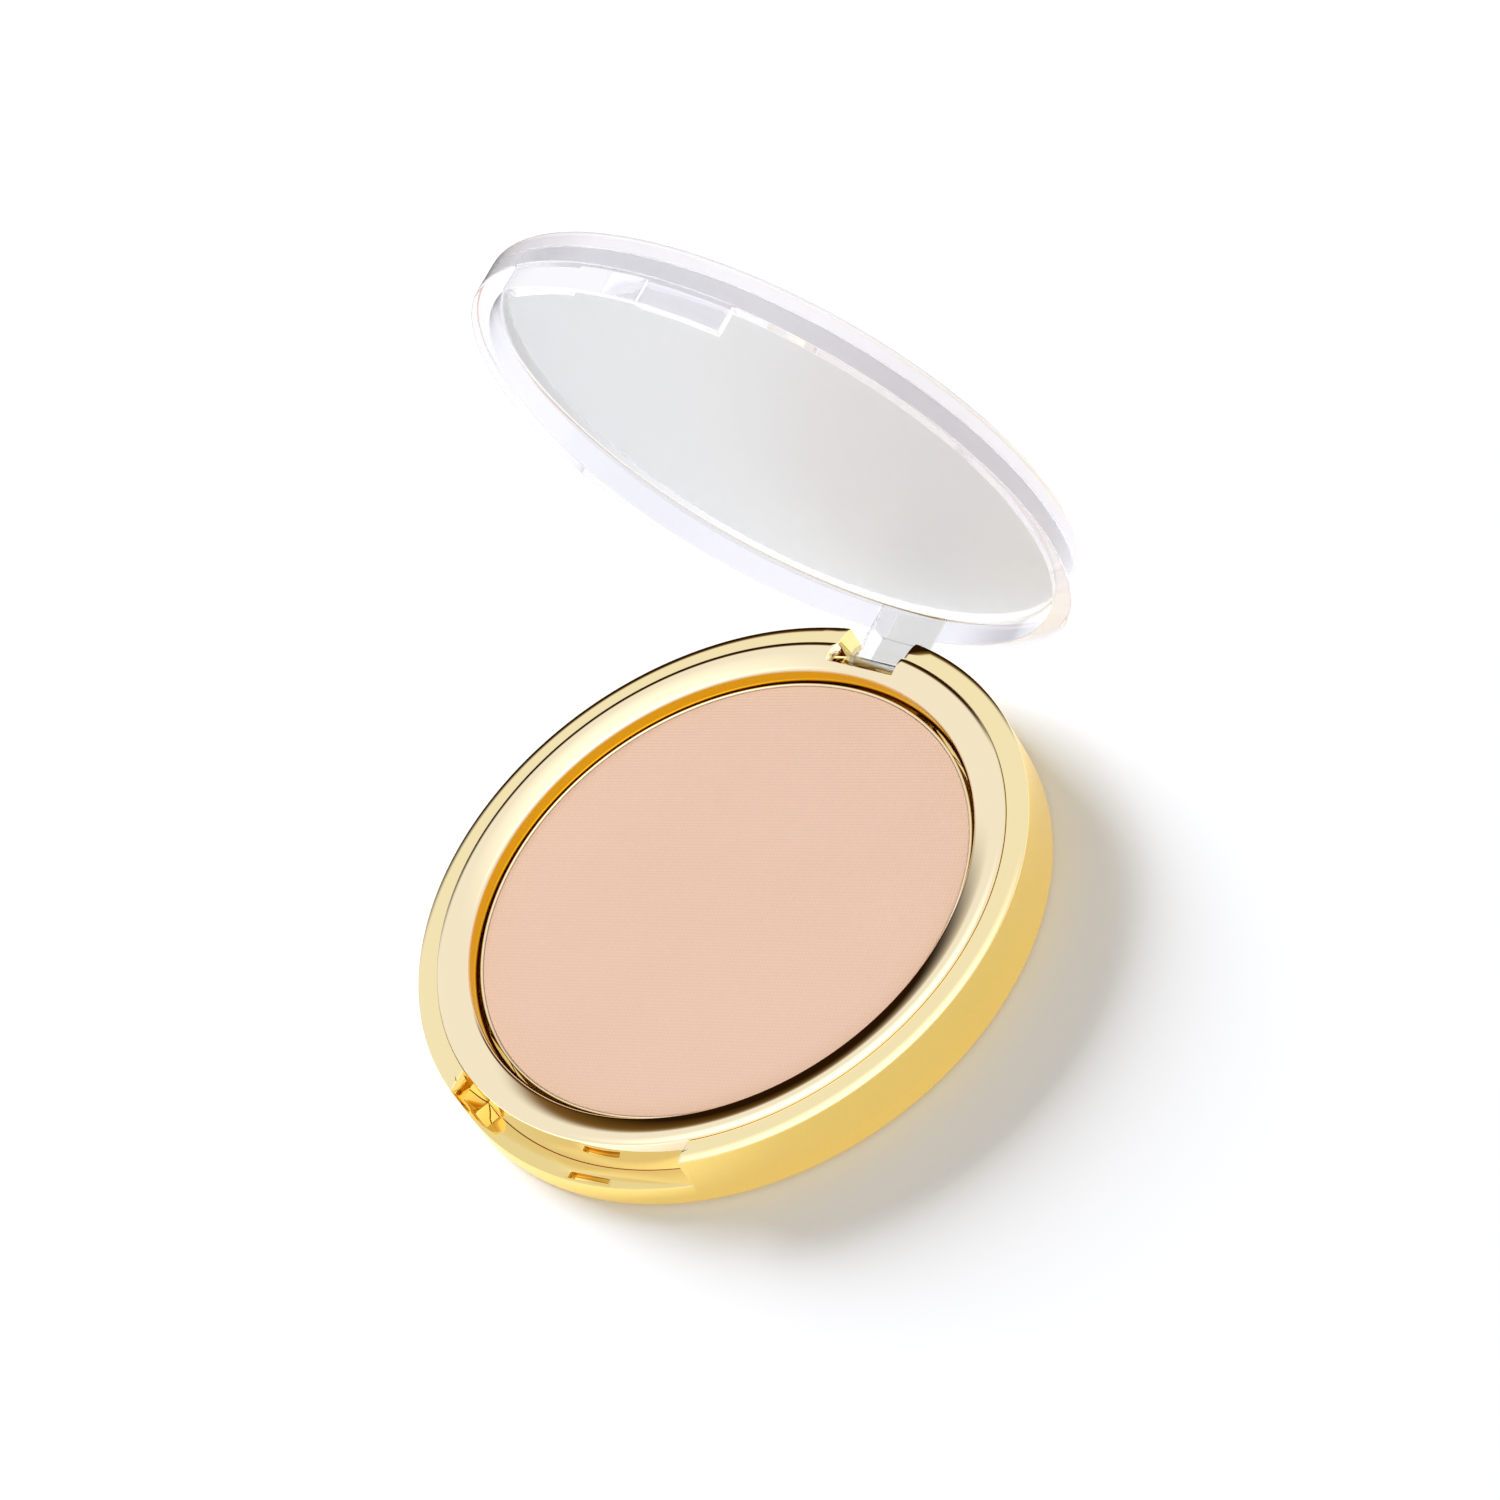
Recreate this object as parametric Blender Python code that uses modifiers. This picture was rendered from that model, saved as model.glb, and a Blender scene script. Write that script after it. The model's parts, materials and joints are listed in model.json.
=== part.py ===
"""A round powder compact with its clear lid standing open.

The base is a satin-sided shell with a bright inner frame dropped into it. The
frame's well holds a metal pan of pressed powder, which a pad sticks to the
floor. The clear lid hangs on one lug and a steel pin at the back, and its front
tongue drops into a thumb recess.

Frame: metres, +Z up, the origin at the middle of the underside, the hinge
towards +Y and the thumb recess towards -Y. Heights are measured from the
underside. The lid is made closed and then swung open about its pin.
"""

import math

import bmesh
import bpy
from mathutils import Matrix, Vector

# --- the pan of powder, which sets the size of the compact -----------------
PAN_RADIUS = 0.02985
PAN_SHEET = 0.00035  # thickness of the pan's metal
PAN_CORNER = 0.0012  # outside radius of the pan's bottom corner
PAN_RIM_DROP = 0.0015  # from the lid's seat down to the pan's rim
POWDER_SINK = 0.00013  # from the pan's rim down to the powder
POWDER_GAP = 0.00025  # between the powder and the pan's metal
POWDER_EDGE = 0.0002  # small chamfer round the powder's top
PAD_RADIUS = 0.0200
PAD_THICKNESS = 0.0004
STACK_GAP = 0.00025  # between floor, pad and pan

# --- the base shell --------------------------------------------------------
BASE_HEIGHT = 0.0079  # underside to the seat that the lid's rim lies on
SEAT_WIDTH = 0.00255  # from the frame's side out to the shell's outside
FLOOR_THICKNESS = 0.0012
SEAT_EDGE = 0.0003  # rounding of the seat's outer edge
FOOT_EDGE = 0.0007  # rounding of the bottom edge
LABEL_RADIUS = 0.0265
LABEL_THICKNESS = 0.0002
LABEL_RECESS_DEPTH = 0.00045
LABEL_MARGIN = 0.0005

# --- the inner frame -------------------------------------------------------
PAN_GAP = 0.00055  # between the pan and the well
FRAME_BAND = 0.00405  # from the well out to the frame's side
FRAME_RISE = 0.0005  # how far the frame stands above the seat
FRAME_GAP = 0.0003  # between the frame and the shell
FRAME_WALL = 0.0011
FRAME_FLANGE = 0.0012  # thickness of the frame's top
FRAME_EDGE = 0.00025
WELL_ROLL_WIDTH = 0.0020  # the rounded shoulder that rolls down into the well
WELL_ROLL_DROP = 0.0010

# --- the hinge -------------------------------------------------------------
PIN_RADIUS = 0.0006
PIN_CHAMFER = 0.00015
PIN_HALF_LENGTH = 0.0080
PIN_FIT = 0.00003  # radial, pin in the shell
PIN_RUNNING_FIT = 0.00006  # radial, pin in the lug
PIN_END_GAP = 0.0003
BARREL_RADIUS = 0.0020  # the rounded end of the lug, about the pin
BARREL_CLEARANCE = 0.00062  # under the barrel, down to the notch's floor
NOTCH_FLOOR = 0.0010
NOTCH_HALF_WIDTH = 0.00475
NOTCH_REACH = 0.00328  # from the pin inwards to the notch's end
HINGE_INSET = 0.00212  # from the shell's outside in to the pin
LUG_SIDE_GAP = 0.0003
LUG_INNER_WALL = 0.00118  # from the pin in to the lug's flat inner face
KNUCKLE_WIDTH = 0.0042  # each block that holds an end of the pin, along the pin
KNUCKLE_WALL = 0.0013  # of a knuckle, round the pin
OPEN_ANGLE = math.radians(84.0)  # of the lid at rest

# --- the lid ---------------------------------------------------------------
LID_HEIGHT = 0.00415
LID_TOP_THICKNESS = 0.00130
LID_INSET = 0.0001  # the lid's outside is this much smaller than the shell's
LID_SEAT_GAP = 0.0002  # between the closed lid's rim and its seat
LID_FRAME_GAP = 0.0002  # between the lid's skirt and the frame's side
LID_EDGE = 0.0004  # rounding of the lid's outer edge
LID_INNER_EDGE = 0.0003

# --- the thumb recess and the tongue that drops into it --------------------
RECESS_HALF_WIDTH = 0.0165
LEDGE_HEIGHT = 0.0033
POCKET_WIDTH = 0.0041  # deeper pocket at the recess's left end
POCKET_DEPTH = 0.0018
POCKET_OUTER_WALL = 0.0006
SLOT_LENGTH = 0.0054
SLOT_WIDTH = 0.0008
SLOT_DEPTH = 0.0012
SLOT_ANGLE = math.radians(5.6)  # to the right of the front
SLOT_INSET = 0.0008  # from the shell's outside in to the slot's middle
THUMB_GAP = 0.0016  # under the closed tongue, for a fingernail
TONGUE_END_GAP = 0.001315  # from each end of the tongue to the recess's end wall
TONGUE_WALL = 0.0009
TONGUE_ROOT = 0.0003  # how far the tongue is sunk into the skirt
BLOCK_WALL = 0.0016  # thickness of the two blocks at the tongue's ends
OUTER_INSET = 0.00006  # of the tongue and the lug, inside the lid's outside
LEFT_BLOCK_END = math.radians(-6.5)
RIGHT_BLOCK_START = math.radians(8.0)

# --- smoothness ------------------------------------------------------------
TURN_STEPS = 96
PIN_SIDES = 24
EDGE_POINTS = 3  # on a small rounded edge
BIG_EDGE_POINTS = EDGE_POINTS + 1
SHOULDER_POINTS = 7
BARREL_POINTS = 15
RELIEF_POINTS = 17
WELD_DISTANCE = 0.000001
SQUARE_EDGES = math.radians(60)  # a chamfer takes only edges sharper than this

# --- values that follow ----------------------------------------------------
WELL_RADIUS = PAN_RADIUS + PAN_GAP
FRAME_RADIUS = WELL_RADIUS + FRAME_BAND
BASE_RADIUS = FRAME_RADIUS + SEAT_WIDTH
BORE_RADIUS = FRAME_RADIUS + FRAME_GAP  # inside of the shell's wall
FRAME_TOP = BASE_HEIGHT + FRAME_RISE
FRAME_FOOT = FLOOR_THICKNESS + FRAME_GAP
FLANGE_UNDERSIDE = FRAME_TOP - FRAME_FLANGE
PAD_BOTTOM = FLOOR_THICKNESS + STACK_GAP
PAN_BOTTOM = PAD_BOTTOM + PAD_THICKNESS + STACK_GAP
PAN_RIM = BASE_HEIGHT - PAN_RIM_DROP
POWDER_TOP = PAN_RIM - POWDER_SINK
PIN_Y = BASE_RADIUS - HINGE_INSET
PIN_Z = NOTCH_FLOOR + BARREL_CLEARANCE + BARREL_RADIUS
PIN_PLACE = Vector((0.0, PIN_Y, PIN_Z))
NOTCH_END = PIN_Y - NOTCH_REACH
KNUCKLE_OUTER_X = NOTCH_HALF_WIDTH + KNUCKLE_WIDTH
KNUCKLE_TOP = min(FLANGE_UNDERSIDE - FRAME_GAP, PIN_Z + PIN_RADIUS + KNUCKLE_WALL)
KNUCKLE_INNER_Y = PIN_Y - PIN_RADIUS - KNUCKLE_WALL
LID_RIM = BASE_HEIGHT + LID_SEAT_GAP
LID_TOP = LID_RIM + LID_HEIGHT
LID_CEILING = LID_TOP - LID_TOP_THICKNESS
LID_RADIUS = BASE_RADIUS - LID_INSET
SKIRT_RADIUS = FRAME_RADIUS + LID_FRAME_GAP  # inside of the lid's skirt
TONGUE_FOOT = LEDGE_HEIGHT + THUMB_GAP
TONGUE_ANGLE = math.asin((RECESS_HALF_WIDTH - TONGUE_END_GAP) / LID_RADIUS)  # to each side of the front
REACH_PAST = 0.002  # how far a cutter runs past what it cuts

for leftover in list(bpy.data.objects):
    bpy.data.objects.remove(leftover, do_unlink=True)

compact = bpy.data.collections.new("powder_compact")
cutters = bpy.data.collections.new("cutters")
bpy.context.scene.collection.children.link(compact)
bpy.context.scene.collection.children.link(cutters)

def material(name, colour, metallic, roughness, transmission=0.0):
    """A Principled BSDF with a part's colour and shine."""
    made = bpy.data.materials.new(name)
    made.use_nodes = True
    shader = made.node_tree.nodes["Principled BSDF"]
    shader.inputs["Base Color"].default_value = (*colour, 1.0)
    shader.inputs["Metallic"].default_value = metallic
    shader.inputs["Roughness"].default_value = roughness
    shader.inputs["Transmission Weight"].default_value = transmission
    return made

BRIGHT_GOLD = material("polished_gold_plating", (0.90, 0.68, 0.28), 1.0, 0.06)
SATIN_GOLD = material("satin_gold_plating", (0.83, 0.62, 0.22), 1.0, 0.38)
CLEAR_PLASTIC = material("clear_styrene", (0.95, 0.95, 0.96), 0.0, 0.03, 1.0)
ALUMINIUM = material("pressed_aluminium", (0.86, 0.83, 0.78), 1.0, 0.30)
POWDER = material("pressed_face_powder", (0.80, 0.58, 0.46), 0.0, 0.90)
STEEL = material("steel_pin", (0.62, 0.61, 0.60), 1.0, 0.25)
GLUE_FOAM = material("double_sided_pad", (0.85, 0.85, 0.82), 0.0, 0.80)
PAPER = material("blank_label", (0.90, 0.89, 0.86), 0.0, 0.60)

def add_object(name, mesh, look):
    """Puts a mesh into the scene as a part, or as a cutter when it has no look."""
    made = bpy.data.objects.new(name, mesh)
    if look is None:
        cutters.objects.link(made)
        made.hide_render = True
        made.display_type = "WIRE"
    else:
        compact.objects.link(made)
        mesh.materials.append(look)
    return made

def turned(name, profile, look=None):
    """A profile of (radius, height) points turned about Z.

    The points run down the outer side. One that ends off the axis is a ring,
    and its last point joins its first.
    """
    mesh = bpy.data.meshes.new(name)
    edges = [(i, i + 1) for i in range(len(profile) - 1)]
    if profile[0][0] > 0:
        edges.append((len(profile) - 1, 0))
    mesh.from_pydata([(r, 0.0, z) for r, z in profile], edges, [])
    made = add_object(name, mesh, look)
    screw = made.modifiers.new("turn", "SCREW")
    screw.axis = "Z"
    screw.steps = TURN_STEPS
    screw.render_steps = TURN_STEPS
    screw.use_merge_vertices = True
    screw.merge_threshold = WELD_DISTANCE
    screw.use_smooth_shade = True
    return made

def box(name, low, high, look=None):
    """A box between two corners."""
    form = bmesh.new()
    bmesh.ops.create_cube(form, size=1.0)
    middle = [(a + b) / 2 for a, b in zip(low, high)]
    size = [b - a for a, b in zip(low, high)]
    bmesh.ops.transform(form, matrix=Matrix.Diagonal((*size, 1.0)), verts=form.verts)
    bmesh.ops.translate(form, vec=middle, verts=form.verts)
    mesh = bpy.data.meshes.new(name)
    form.to_mesh(mesh)
    form.free()
    return add_object(name, mesh, look)

def rod_along_x(name, radius, half_length, look=None):
    """A round rod on the hinge's axis."""
    form = bmesh.new()
    bmesh.ops.create_cone(
        form,
        cap_ends=True,
        segments=PIN_SIDES,
        radius1=radius,
        radius2=radius,
        depth=2 * half_length,
    )
    bmesh.ops.rotate(form, matrix=Matrix.Rotation(math.pi / 2, 3, "Y"), verts=form.verts)
    bmesh.ops.translate(form, vec=PIN_PLACE, verts=form.verts)
    mesh = bpy.data.meshes.new(name)
    form.to_mesh(mesh)
    form.free()
    return add_object(name, mesh, look)

def outline(name, points, thickness, turn, look=None):
    """A flat outline given a thickness, as a mesh, then put in place by a matrix."""
    curve = bpy.data.curves.new(name, "CURVE")
    curve.dimensions = "2D"
    curve.fill_mode = "BOTH"
    curve.extrude = thickness / 2
    spline = curve.splines.new("POLY")
    spline.points.add(len(points) - 1)
    for point, (u, v) in zip(spline.points, points):
        point.co = (u, v, 0.0, 1.0)
    spline.use_cyclic_u = True
    holder = bpy.data.objects.new(name + "_curve", curve)
    cutters.objects.link(holder)
    graph = bpy.context.evaluated_depsgraph_get()
    mesh = bpy.data.meshes.new_from_object(holder.evaluated_get(graph))
    bpy.data.objects.remove(holder, do_unlink=True)
    form = bmesh.new()
    form.from_mesh(mesh)
    bmesh.ops.remove_doubles(form, verts=form.verts, dist=WELD_DISTANCE)
    bmesh.ops.transform(form, matrix=turn, verts=form.verts)
    bmesh.ops.recalc_face_normals(form, faces=form.faces)
    form.to_mesh(mesh)
    form.free()
    mesh.name = name
    return add_object(name, mesh, look)

# An outline drawn in (y, z) and given its thickness along X.
SIDE_VIEW = Matrix(((0, 0, 1, 0), (1, 0, 0, 0), (0, 1, 0, 0), (0, 0, 0, 1)))

def plan_view(low, high):
    """An outline drawn in (x, y) and standing between two heights."""
    return Matrix.Translation((0.0, 0.0, (low + high) / 2))

def arc(centre, radius, start, end, count):
    """Points along a circle, from one angle to another, both ends included."""
    angles = [start + (end - start) * i / (count - 1) for i in range(count)]
    return [
        (centre[0] + radius * math.cos(a), centre[1] + radius * math.sin(a))
        for a in angles
    ]

def change(target, operation, other):
    """Cuts another shape from the target, joins it on, or keeps what they share."""
    step = target.modifiers.new(other.name, "BOOLEAN")
    step.operation = operation
    step.solver = "EXACT"
    step.object = other

def ring_arc(radius, start, end):
    """Points at one radius between two angles counted from the front towards +X."""
    count = max(3, round(TURN_STEPS * abs(end - start) / math.tau) + 1)
    front = -math.pi / 2
    return arc((0.0, 0.0), radius, front + start, front + end, count)

def sector(name, inner, outer, start, end, low, high):
    """Part of a ring between two angles and two heights."""
    points = ring_arc(outer, start, end) + ring_arc(inner, end, start)
    return outline(name, points, high - low, plan_view(low, high))

def shell_profile():
    """Floor, bored wall, flat seat, rounded edges and the label's recess."""
    seat_middle = (BASE_RADIUS - SEAT_EDGE, BASE_HEIGHT - SEAT_EDGE)
    seat_edge = arc(seat_middle, SEAT_EDGE, math.pi / 2, 0, EDGE_POINTS)
    foot_middle = (BASE_RADIUS - FOOT_EDGE, FOOT_EDGE)
    foot_edge = arc(foot_middle, FOOT_EDGE, 0, -math.pi / 2, BIG_EDGE_POINTS)
    recess = LABEL_RADIUS + LABEL_MARGIN
    return [
        (0.0, FLOOR_THICKNESS),
        (BORE_RADIUS, FLOOR_THICKNESS),
        (BORE_RADIUS, BASE_HEIGHT),
        *seat_edge,
        *foot_edge,
        (recess, 0.0),
        (recess, LABEL_RECESS_DEPTH),
        (0.0, LABEL_RECESS_DEPTH),
    ]

def knuckle(side, name):
    """The block beside the notch that holds one end of the pin."""
    inner_x = side * (NOTCH_HALF_WIDTH - REACH_PAST)
    outer_x = side * KNUCKLE_OUTER_X
    low = (min(inner_x, outer_x), KNUCKLE_INNER_Y, FLOOR_THICKNESS / 2)
    high = (max(inner_x, outer_x), PIN_Y + PIN_RADIUS, KNUCKLE_TOP)
    return box(name, low, high)

def hinge_relief():
    """What the lid's rim sweeps through: all that is further from the pin than the seat."""
    swing = BASE_HEIGHT - PIN_Z
    far = PIN_Y + swing + REACH_PAST
    top = BASE_HEIGHT + REACH_PAST
    round_over = arc((PIN_Y, PIN_Z), swing, math.pi / 2, 0, RELIEF_POINTS)
    points = round_over + [(far, PIN_Z), (far, top), (PIN_Y, top)]
    return outline("hinge_relief", points, 2 * BASE_RADIUS, SIDE_VIEW)

def catch_slot():
    """A narrow slot in the ledge, along the shell's edge."""
    made = box(
        "catch_slot",
        (-SLOT_LENGTH / 2, -BASE_RADIUS + SLOT_INSET - SLOT_WIDTH / 2, LEDGE_HEIGHT - SLOT_DEPTH),
        (SLOT_LENGTH / 2, -BASE_RADIUS + SLOT_INSET + SLOT_WIDTH / 2, LEDGE_HEIGHT + REACH_PAST),
    )
    made.rotation_euler.z = SLOT_ANGLE
    return made

def notch(name, low):
    """The slot across the back of the base that the lid's lug turns in."""
    return box(
        name,
        (-NOTCH_HALF_WIDTH, NOTCH_END, low),
        (NOTCH_HALF_WIDTH, BASE_RADIUS + REACH_PAST, FRAME_TOP + REACH_PAST),
    )

def base_shell():
    """The satin-sided dish with its seat, knuckles, thumb recess, pocket and slot."""
    made = turned("base_shell", shell_profile(), SATIN_GOLD)
    change(made, "UNION", knuckle(-1, "left_knuckle"))
    change(made, "UNION", knuckle(1, "right_knuckle"))
    change(made, "DIFFERENCE", notch("shell_notch", NOTCH_FLOOR))
    change(made, "DIFFERENCE", hinge_relief())
    bore = rod_along_x("pin_bore", PIN_RADIUS + PIN_FIT, PIN_HALF_LENGTH + PIN_END_GAP)
    change(made, "DIFFERENCE", bore)
    recess = box(
        "thumb_recess",
        (-RECESS_HALF_WIDTH, -BASE_RADIUS - REACH_PAST, LEDGE_HEIGHT),
        (RECESS_HALF_WIDTH, 0.0, BASE_HEIGHT + REACH_PAST),
    )
    change(made, "DIFFERENCE", recess)
    pocket = sector(
        "recess_pocket",
        BORE_RADIUS - REACH_PAST,
        BASE_RADIUS - POCKET_OUTER_WALL,
        -math.asin(RECESS_HALF_WIDTH / BORE_RADIUS),
        -math.asin((RECESS_HALF_WIDTH - POCKET_WIDTH) / BORE_RADIUS),
        LEDGE_HEIGHT - POCKET_DEPTH,
        LEDGE_HEIGHT + REACH_PAST,
    )
    change(made, "DIFFERENCE", pocket)
    change(made, "DIFFERENCE", catch_slot())
    return made

def frame_profile():
    """A channel: inner wall, rolled shoulder, flat top, outer wall, open underneath."""
    shoulder_r = WELL_RADIUS + WELL_ROLL_WIDTH
    shoulder_z = FRAME_TOP - WELL_ROLL_DROP
    unit_roll = arc((0.0, 0.0), 1.0, math.pi, math.pi / 2, SHOULDER_POINTS)
    roll = [
        (shoulder_r + WELL_ROLL_WIDTH * u, shoulder_z + WELL_ROLL_DROP * v)
        for u, v in unit_roll
    ]
    edge_middle = (FRAME_RADIUS - FRAME_EDGE, FRAME_TOP - FRAME_EDGE)
    edge = arc(edge_middle, FRAME_EDGE, math.pi / 2, 0, EDGE_POINTS)
    return [
        *roll,
        *edge,
        (FRAME_RADIUS, FRAME_FOOT),
        (FRAME_RADIUS - FRAME_WALL, FRAME_FOOT),
        (FRAME_RADIUS - FRAME_WALL, FLANGE_UNDERSIDE),
        (WELL_RADIUS + FRAME_WALL, FLANGE_UNDERSIDE),
        (WELL_RADIUS + FRAME_WALL, FRAME_FOOT),
        (WELL_RADIUS, FRAME_FOOT),
    ]

def inner_frame():
    """The bright ring round the pan, cut out for the lug and for the knuckles."""
    made = turned("inner_frame", frame_profile(), BRIGHT_GOLD)
    change(made, "DIFFERENCE", notch("frame_notch", 0.0))
    room = box(
        "knuckle_room",
        (-KNUCKLE_OUTER_X - FRAME_GAP, WELL_RADIUS + FRAME_WALL + FRAME_GAP, 0.0),
        (KNUCKLE_OUTER_X + FRAME_GAP, BASE_RADIUS, FLANGE_UNDERSIDE - FRAME_GAP / 2),
    )
    change(made, "DIFFERENCE", room)
    return made

def pan_profile():
    """A flat-bottomed tray of thin metal."""
    middle = (PAN_RADIUS - PAN_CORNER, PAN_BOTTOM + PAN_CORNER)
    outer = arc(middle, PAN_CORNER, 0, -math.pi / 2, BIG_EDGE_POINTS)
    inner = arc(middle, PAN_CORNER - PAN_SHEET, -math.pi / 2, 0, BIG_EDGE_POINTS)
    return [
        (0.0, PAN_BOTTOM + PAN_SHEET),
        *inner,
        (PAN_RADIUS - PAN_SHEET, PAN_RIM),
        (PAN_RADIUS, PAN_RIM),
        *outer,
        (0.0, PAN_BOTTOM),
    ]

def powder_profile():
    """A cake that follows the pan's inside."""
    side = PAN_RADIUS - PAN_SHEET - POWDER_GAP
    foot = PAN_BOTTOM + PAN_SHEET + POWDER_GAP
    middle = (PAN_RADIUS - PAN_CORNER, PAN_BOTTOM + PAN_CORNER)
    corner_radius = PAN_CORNER - PAN_SHEET - POWDER_GAP
    corner = arc(middle, corner_radius, 0, -math.pi / 2, BIG_EDGE_POINTS)
    return [
        (0.0, POWDER_TOP),
        (side - POWDER_EDGE, POWDER_TOP),
        (side, POWDER_TOP - POWDER_EDGE),
        *corner,
        (0.0, foot),
    ]

def disc(name, radius, low, high, look):
    """A plain flat disc."""
    return turned(name, [(0.0, high), (radius, high), (radius, low), (0.0, low)], look)

def hinge_pin():
    """The steel pin, with its ends taken off at an angle."""
    made = rod_along_x("hinge_pin", PIN_RADIUS, PIN_HALF_LENGTH, STEEL)
    ends = made.modifiers.new("end_chamfer", "BEVEL")
    ends.width = PIN_CHAMFER
    ends.segments = 1
    ends.limit_method = "ANGLE"
    ends.angle_limit = SQUARE_EDGES
    return made

def lid_profile():
    """A shallow clear dish, upside down, with a thick skirt."""
    edge_middle = (LID_RADIUS - LID_EDGE, LID_TOP - LID_EDGE)
    edge = arc(edge_middle, LID_EDGE, math.pi / 2, 0, BIG_EDGE_POINTS)
    corner_middle = (SKIRT_RADIUS - LID_INNER_EDGE, LID_CEILING - LID_INNER_EDGE)
    corner = arc(corner_middle, LID_INNER_EDGE, 0, math.pi / 2, EDGE_POINTS)
    return [
        (0.0, LID_TOP),
        *edge,
        (LID_RADIUS, LID_RIM),
        (SKIRT_RADIUS, LID_RIM),
        *corner,
        (0.0, LID_CEILING),
    ]

def lug():
    """The hinge lug: a flat neck down from the lid, ending in a barrel round the pin."""
    inner = PIN_Y - LUG_INNER_WALL
    top = LID_CEILING + LID_TOP_THICKNESS / 2
    # The barrel runs from the inner face, round underneath, to the outer face.
    start = math.pi - math.acos(LUG_INNER_WALL / BARREL_RADIUS)
    barrel = arc((PIN_Y, PIN_Z), BARREL_RADIUS, start, math.tau, BARREL_POINTS)
    outer = PIN_Y + BARREL_RADIUS
    points = [(inner, top)] + barrel + [(outer, top)]
    width = 2 * (NOTCH_HALF_WIDTH - LUG_SIDE_GAP)
    made = outline("hinge_lug", points, width, SIDE_VIEW)
    side = LID_RADIUS - OUTER_INSET
    round_side = turned(
        "lug_round_side",
        [(0.0, LID_TOP), (side, LID_TOP), (side, 0.0), (0.0, 0.0)],
    )
    change(made, "INTERSECT", round_side)
    return made

def tongue():
    """The lid's tongue: a curved wall with a thicker block at each end."""
    outer = LID_RADIUS - OUTER_INSET
    thick = LID_RADIUS - BLOCK_WALL
    thin = LID_RADIUS - TONGUE_WALL
    points = [
        *ring_arc(outer, -TONGUE_ANGLE, TONGUE_ANGLE),
        *ring_arc(thick, TONGUE_ANGLE, RIGHT_BLOCK_START),
        *ring_arc(thin, RIGHT_BLOCK_START, LEFT_BLOCK_END),
        *ring_arc(thick, LEFT_BLOCK_END, -TONGUE_ANGLE),
    ]
    top = LID_RIM + TONGUE_ROOT
    return outline("tongue", points, top - TONGUE_FOOT, plan_view(TONGUE_FOOT, top))

def lid():
    """The clear lid with its lug and tongue, hung on the pin's axis and swung open."""
    made = turned("lid", lid_profile(), CLEAR_PLASTIC)
    joined = [lug(), tongue()]
    for piece in joined:
        change(made, "UNION", piece)
    bore = rod_along_x("lug_bore", PIN_RADIUS + PIN_RUNNING_FIT, 2 * PIN_HALF_LENGTH)
    change(made, "DIFFERENCE", bore)
    axis = bpy.data.objects.new("lid_hinge_axis", None)
    compact.objects.link(axis)
    axis.location = PIN_PLACE
    for piece in [made, bore, bpy.data.objects["lug_round_side"], *joined]:
        piece.parent = axis
        piece.location = -PIN_PLACE
    axis.rotation_euler.x = -OPEN_ANGLE
    return made

base_shell()
inner_frame()
turned("powder_pan", pan_profile(), ALUMINIUM)
turned("pressed_powder", powder_profile(), POWDER)
disc("pan_pad", PAD_RADIUS, PAD_BOTTOM, PAD_BOTTOM + PAD_THICKNESS, GLUE_FOAM)
disc("base_label", LABEL_RADIUS, 0.0, LABEL_THICKNESS, PAPER)
hinge_pin()
lid()
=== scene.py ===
# %% [markdown]
# # A powder compact with its clear lid open
# The measured model of the compact comes in first. It fixes every size and every place, and it
# knows which pieces move together. Everything below is drawn around it in metres, in the same
# frame: Z is up, the hinge is towards +Y and the thumb recess towards -Y.

# %% Load the frame
import json
import math

import bmesh
import bpy
import numpy as np
from mathutils import Matrix, Vector


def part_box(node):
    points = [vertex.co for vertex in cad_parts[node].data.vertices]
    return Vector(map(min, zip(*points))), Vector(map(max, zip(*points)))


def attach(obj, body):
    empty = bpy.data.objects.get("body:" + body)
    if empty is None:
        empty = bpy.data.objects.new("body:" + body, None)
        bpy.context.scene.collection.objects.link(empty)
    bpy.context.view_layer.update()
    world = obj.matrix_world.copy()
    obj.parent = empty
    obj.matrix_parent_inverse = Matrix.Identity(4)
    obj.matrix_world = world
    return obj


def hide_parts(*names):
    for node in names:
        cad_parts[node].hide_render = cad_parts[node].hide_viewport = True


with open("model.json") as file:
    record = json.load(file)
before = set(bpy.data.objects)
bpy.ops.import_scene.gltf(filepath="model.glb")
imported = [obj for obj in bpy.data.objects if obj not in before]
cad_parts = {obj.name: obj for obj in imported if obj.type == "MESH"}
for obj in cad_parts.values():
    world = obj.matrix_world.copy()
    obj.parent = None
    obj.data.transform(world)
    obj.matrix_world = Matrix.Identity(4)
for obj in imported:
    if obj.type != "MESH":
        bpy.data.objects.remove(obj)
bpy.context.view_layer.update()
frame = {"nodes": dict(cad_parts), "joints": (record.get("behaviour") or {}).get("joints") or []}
MM = 0.001

# %% [markdown]
# Sizes are read from the boxes of the frame's own nodes, so that the finer surfaces land exactly
# where the measured ones are. Only what a box can't tell, such as the width of a groove, is
# written as a number.

# %% Sizes read from the frame
BASE_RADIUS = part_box("base_shell")[1].x
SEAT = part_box("base_shell")[1].z
FRAME_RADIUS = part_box("inner_frame")[1].x
FRAME_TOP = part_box("inner_frame")[1].z
FRAME_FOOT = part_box("inner_frame")[0].z
PAN_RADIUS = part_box("powder_pan")[1].x
PAN_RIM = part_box("powder_pan")[1].z
PAN_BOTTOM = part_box("powder_pan")[0].z
POWDER_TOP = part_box("pressed_powder")[1].z
POWDER_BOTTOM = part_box("pressed_powder")[0].z
LABEL_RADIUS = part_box("base_label")[1].x
PIN_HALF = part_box("hinge_pin")[1].x
PIN_RADIUS = (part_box("hinge_pin")[1].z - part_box("hinge_pin")[0].z) / 2
hinge = frame["joints"][0]
PIN = Vector(hinge["pos_m"])
OPEN_ANGLE = math.radians(-hinge["range_deg"][0])
STEPS = 288
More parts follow.
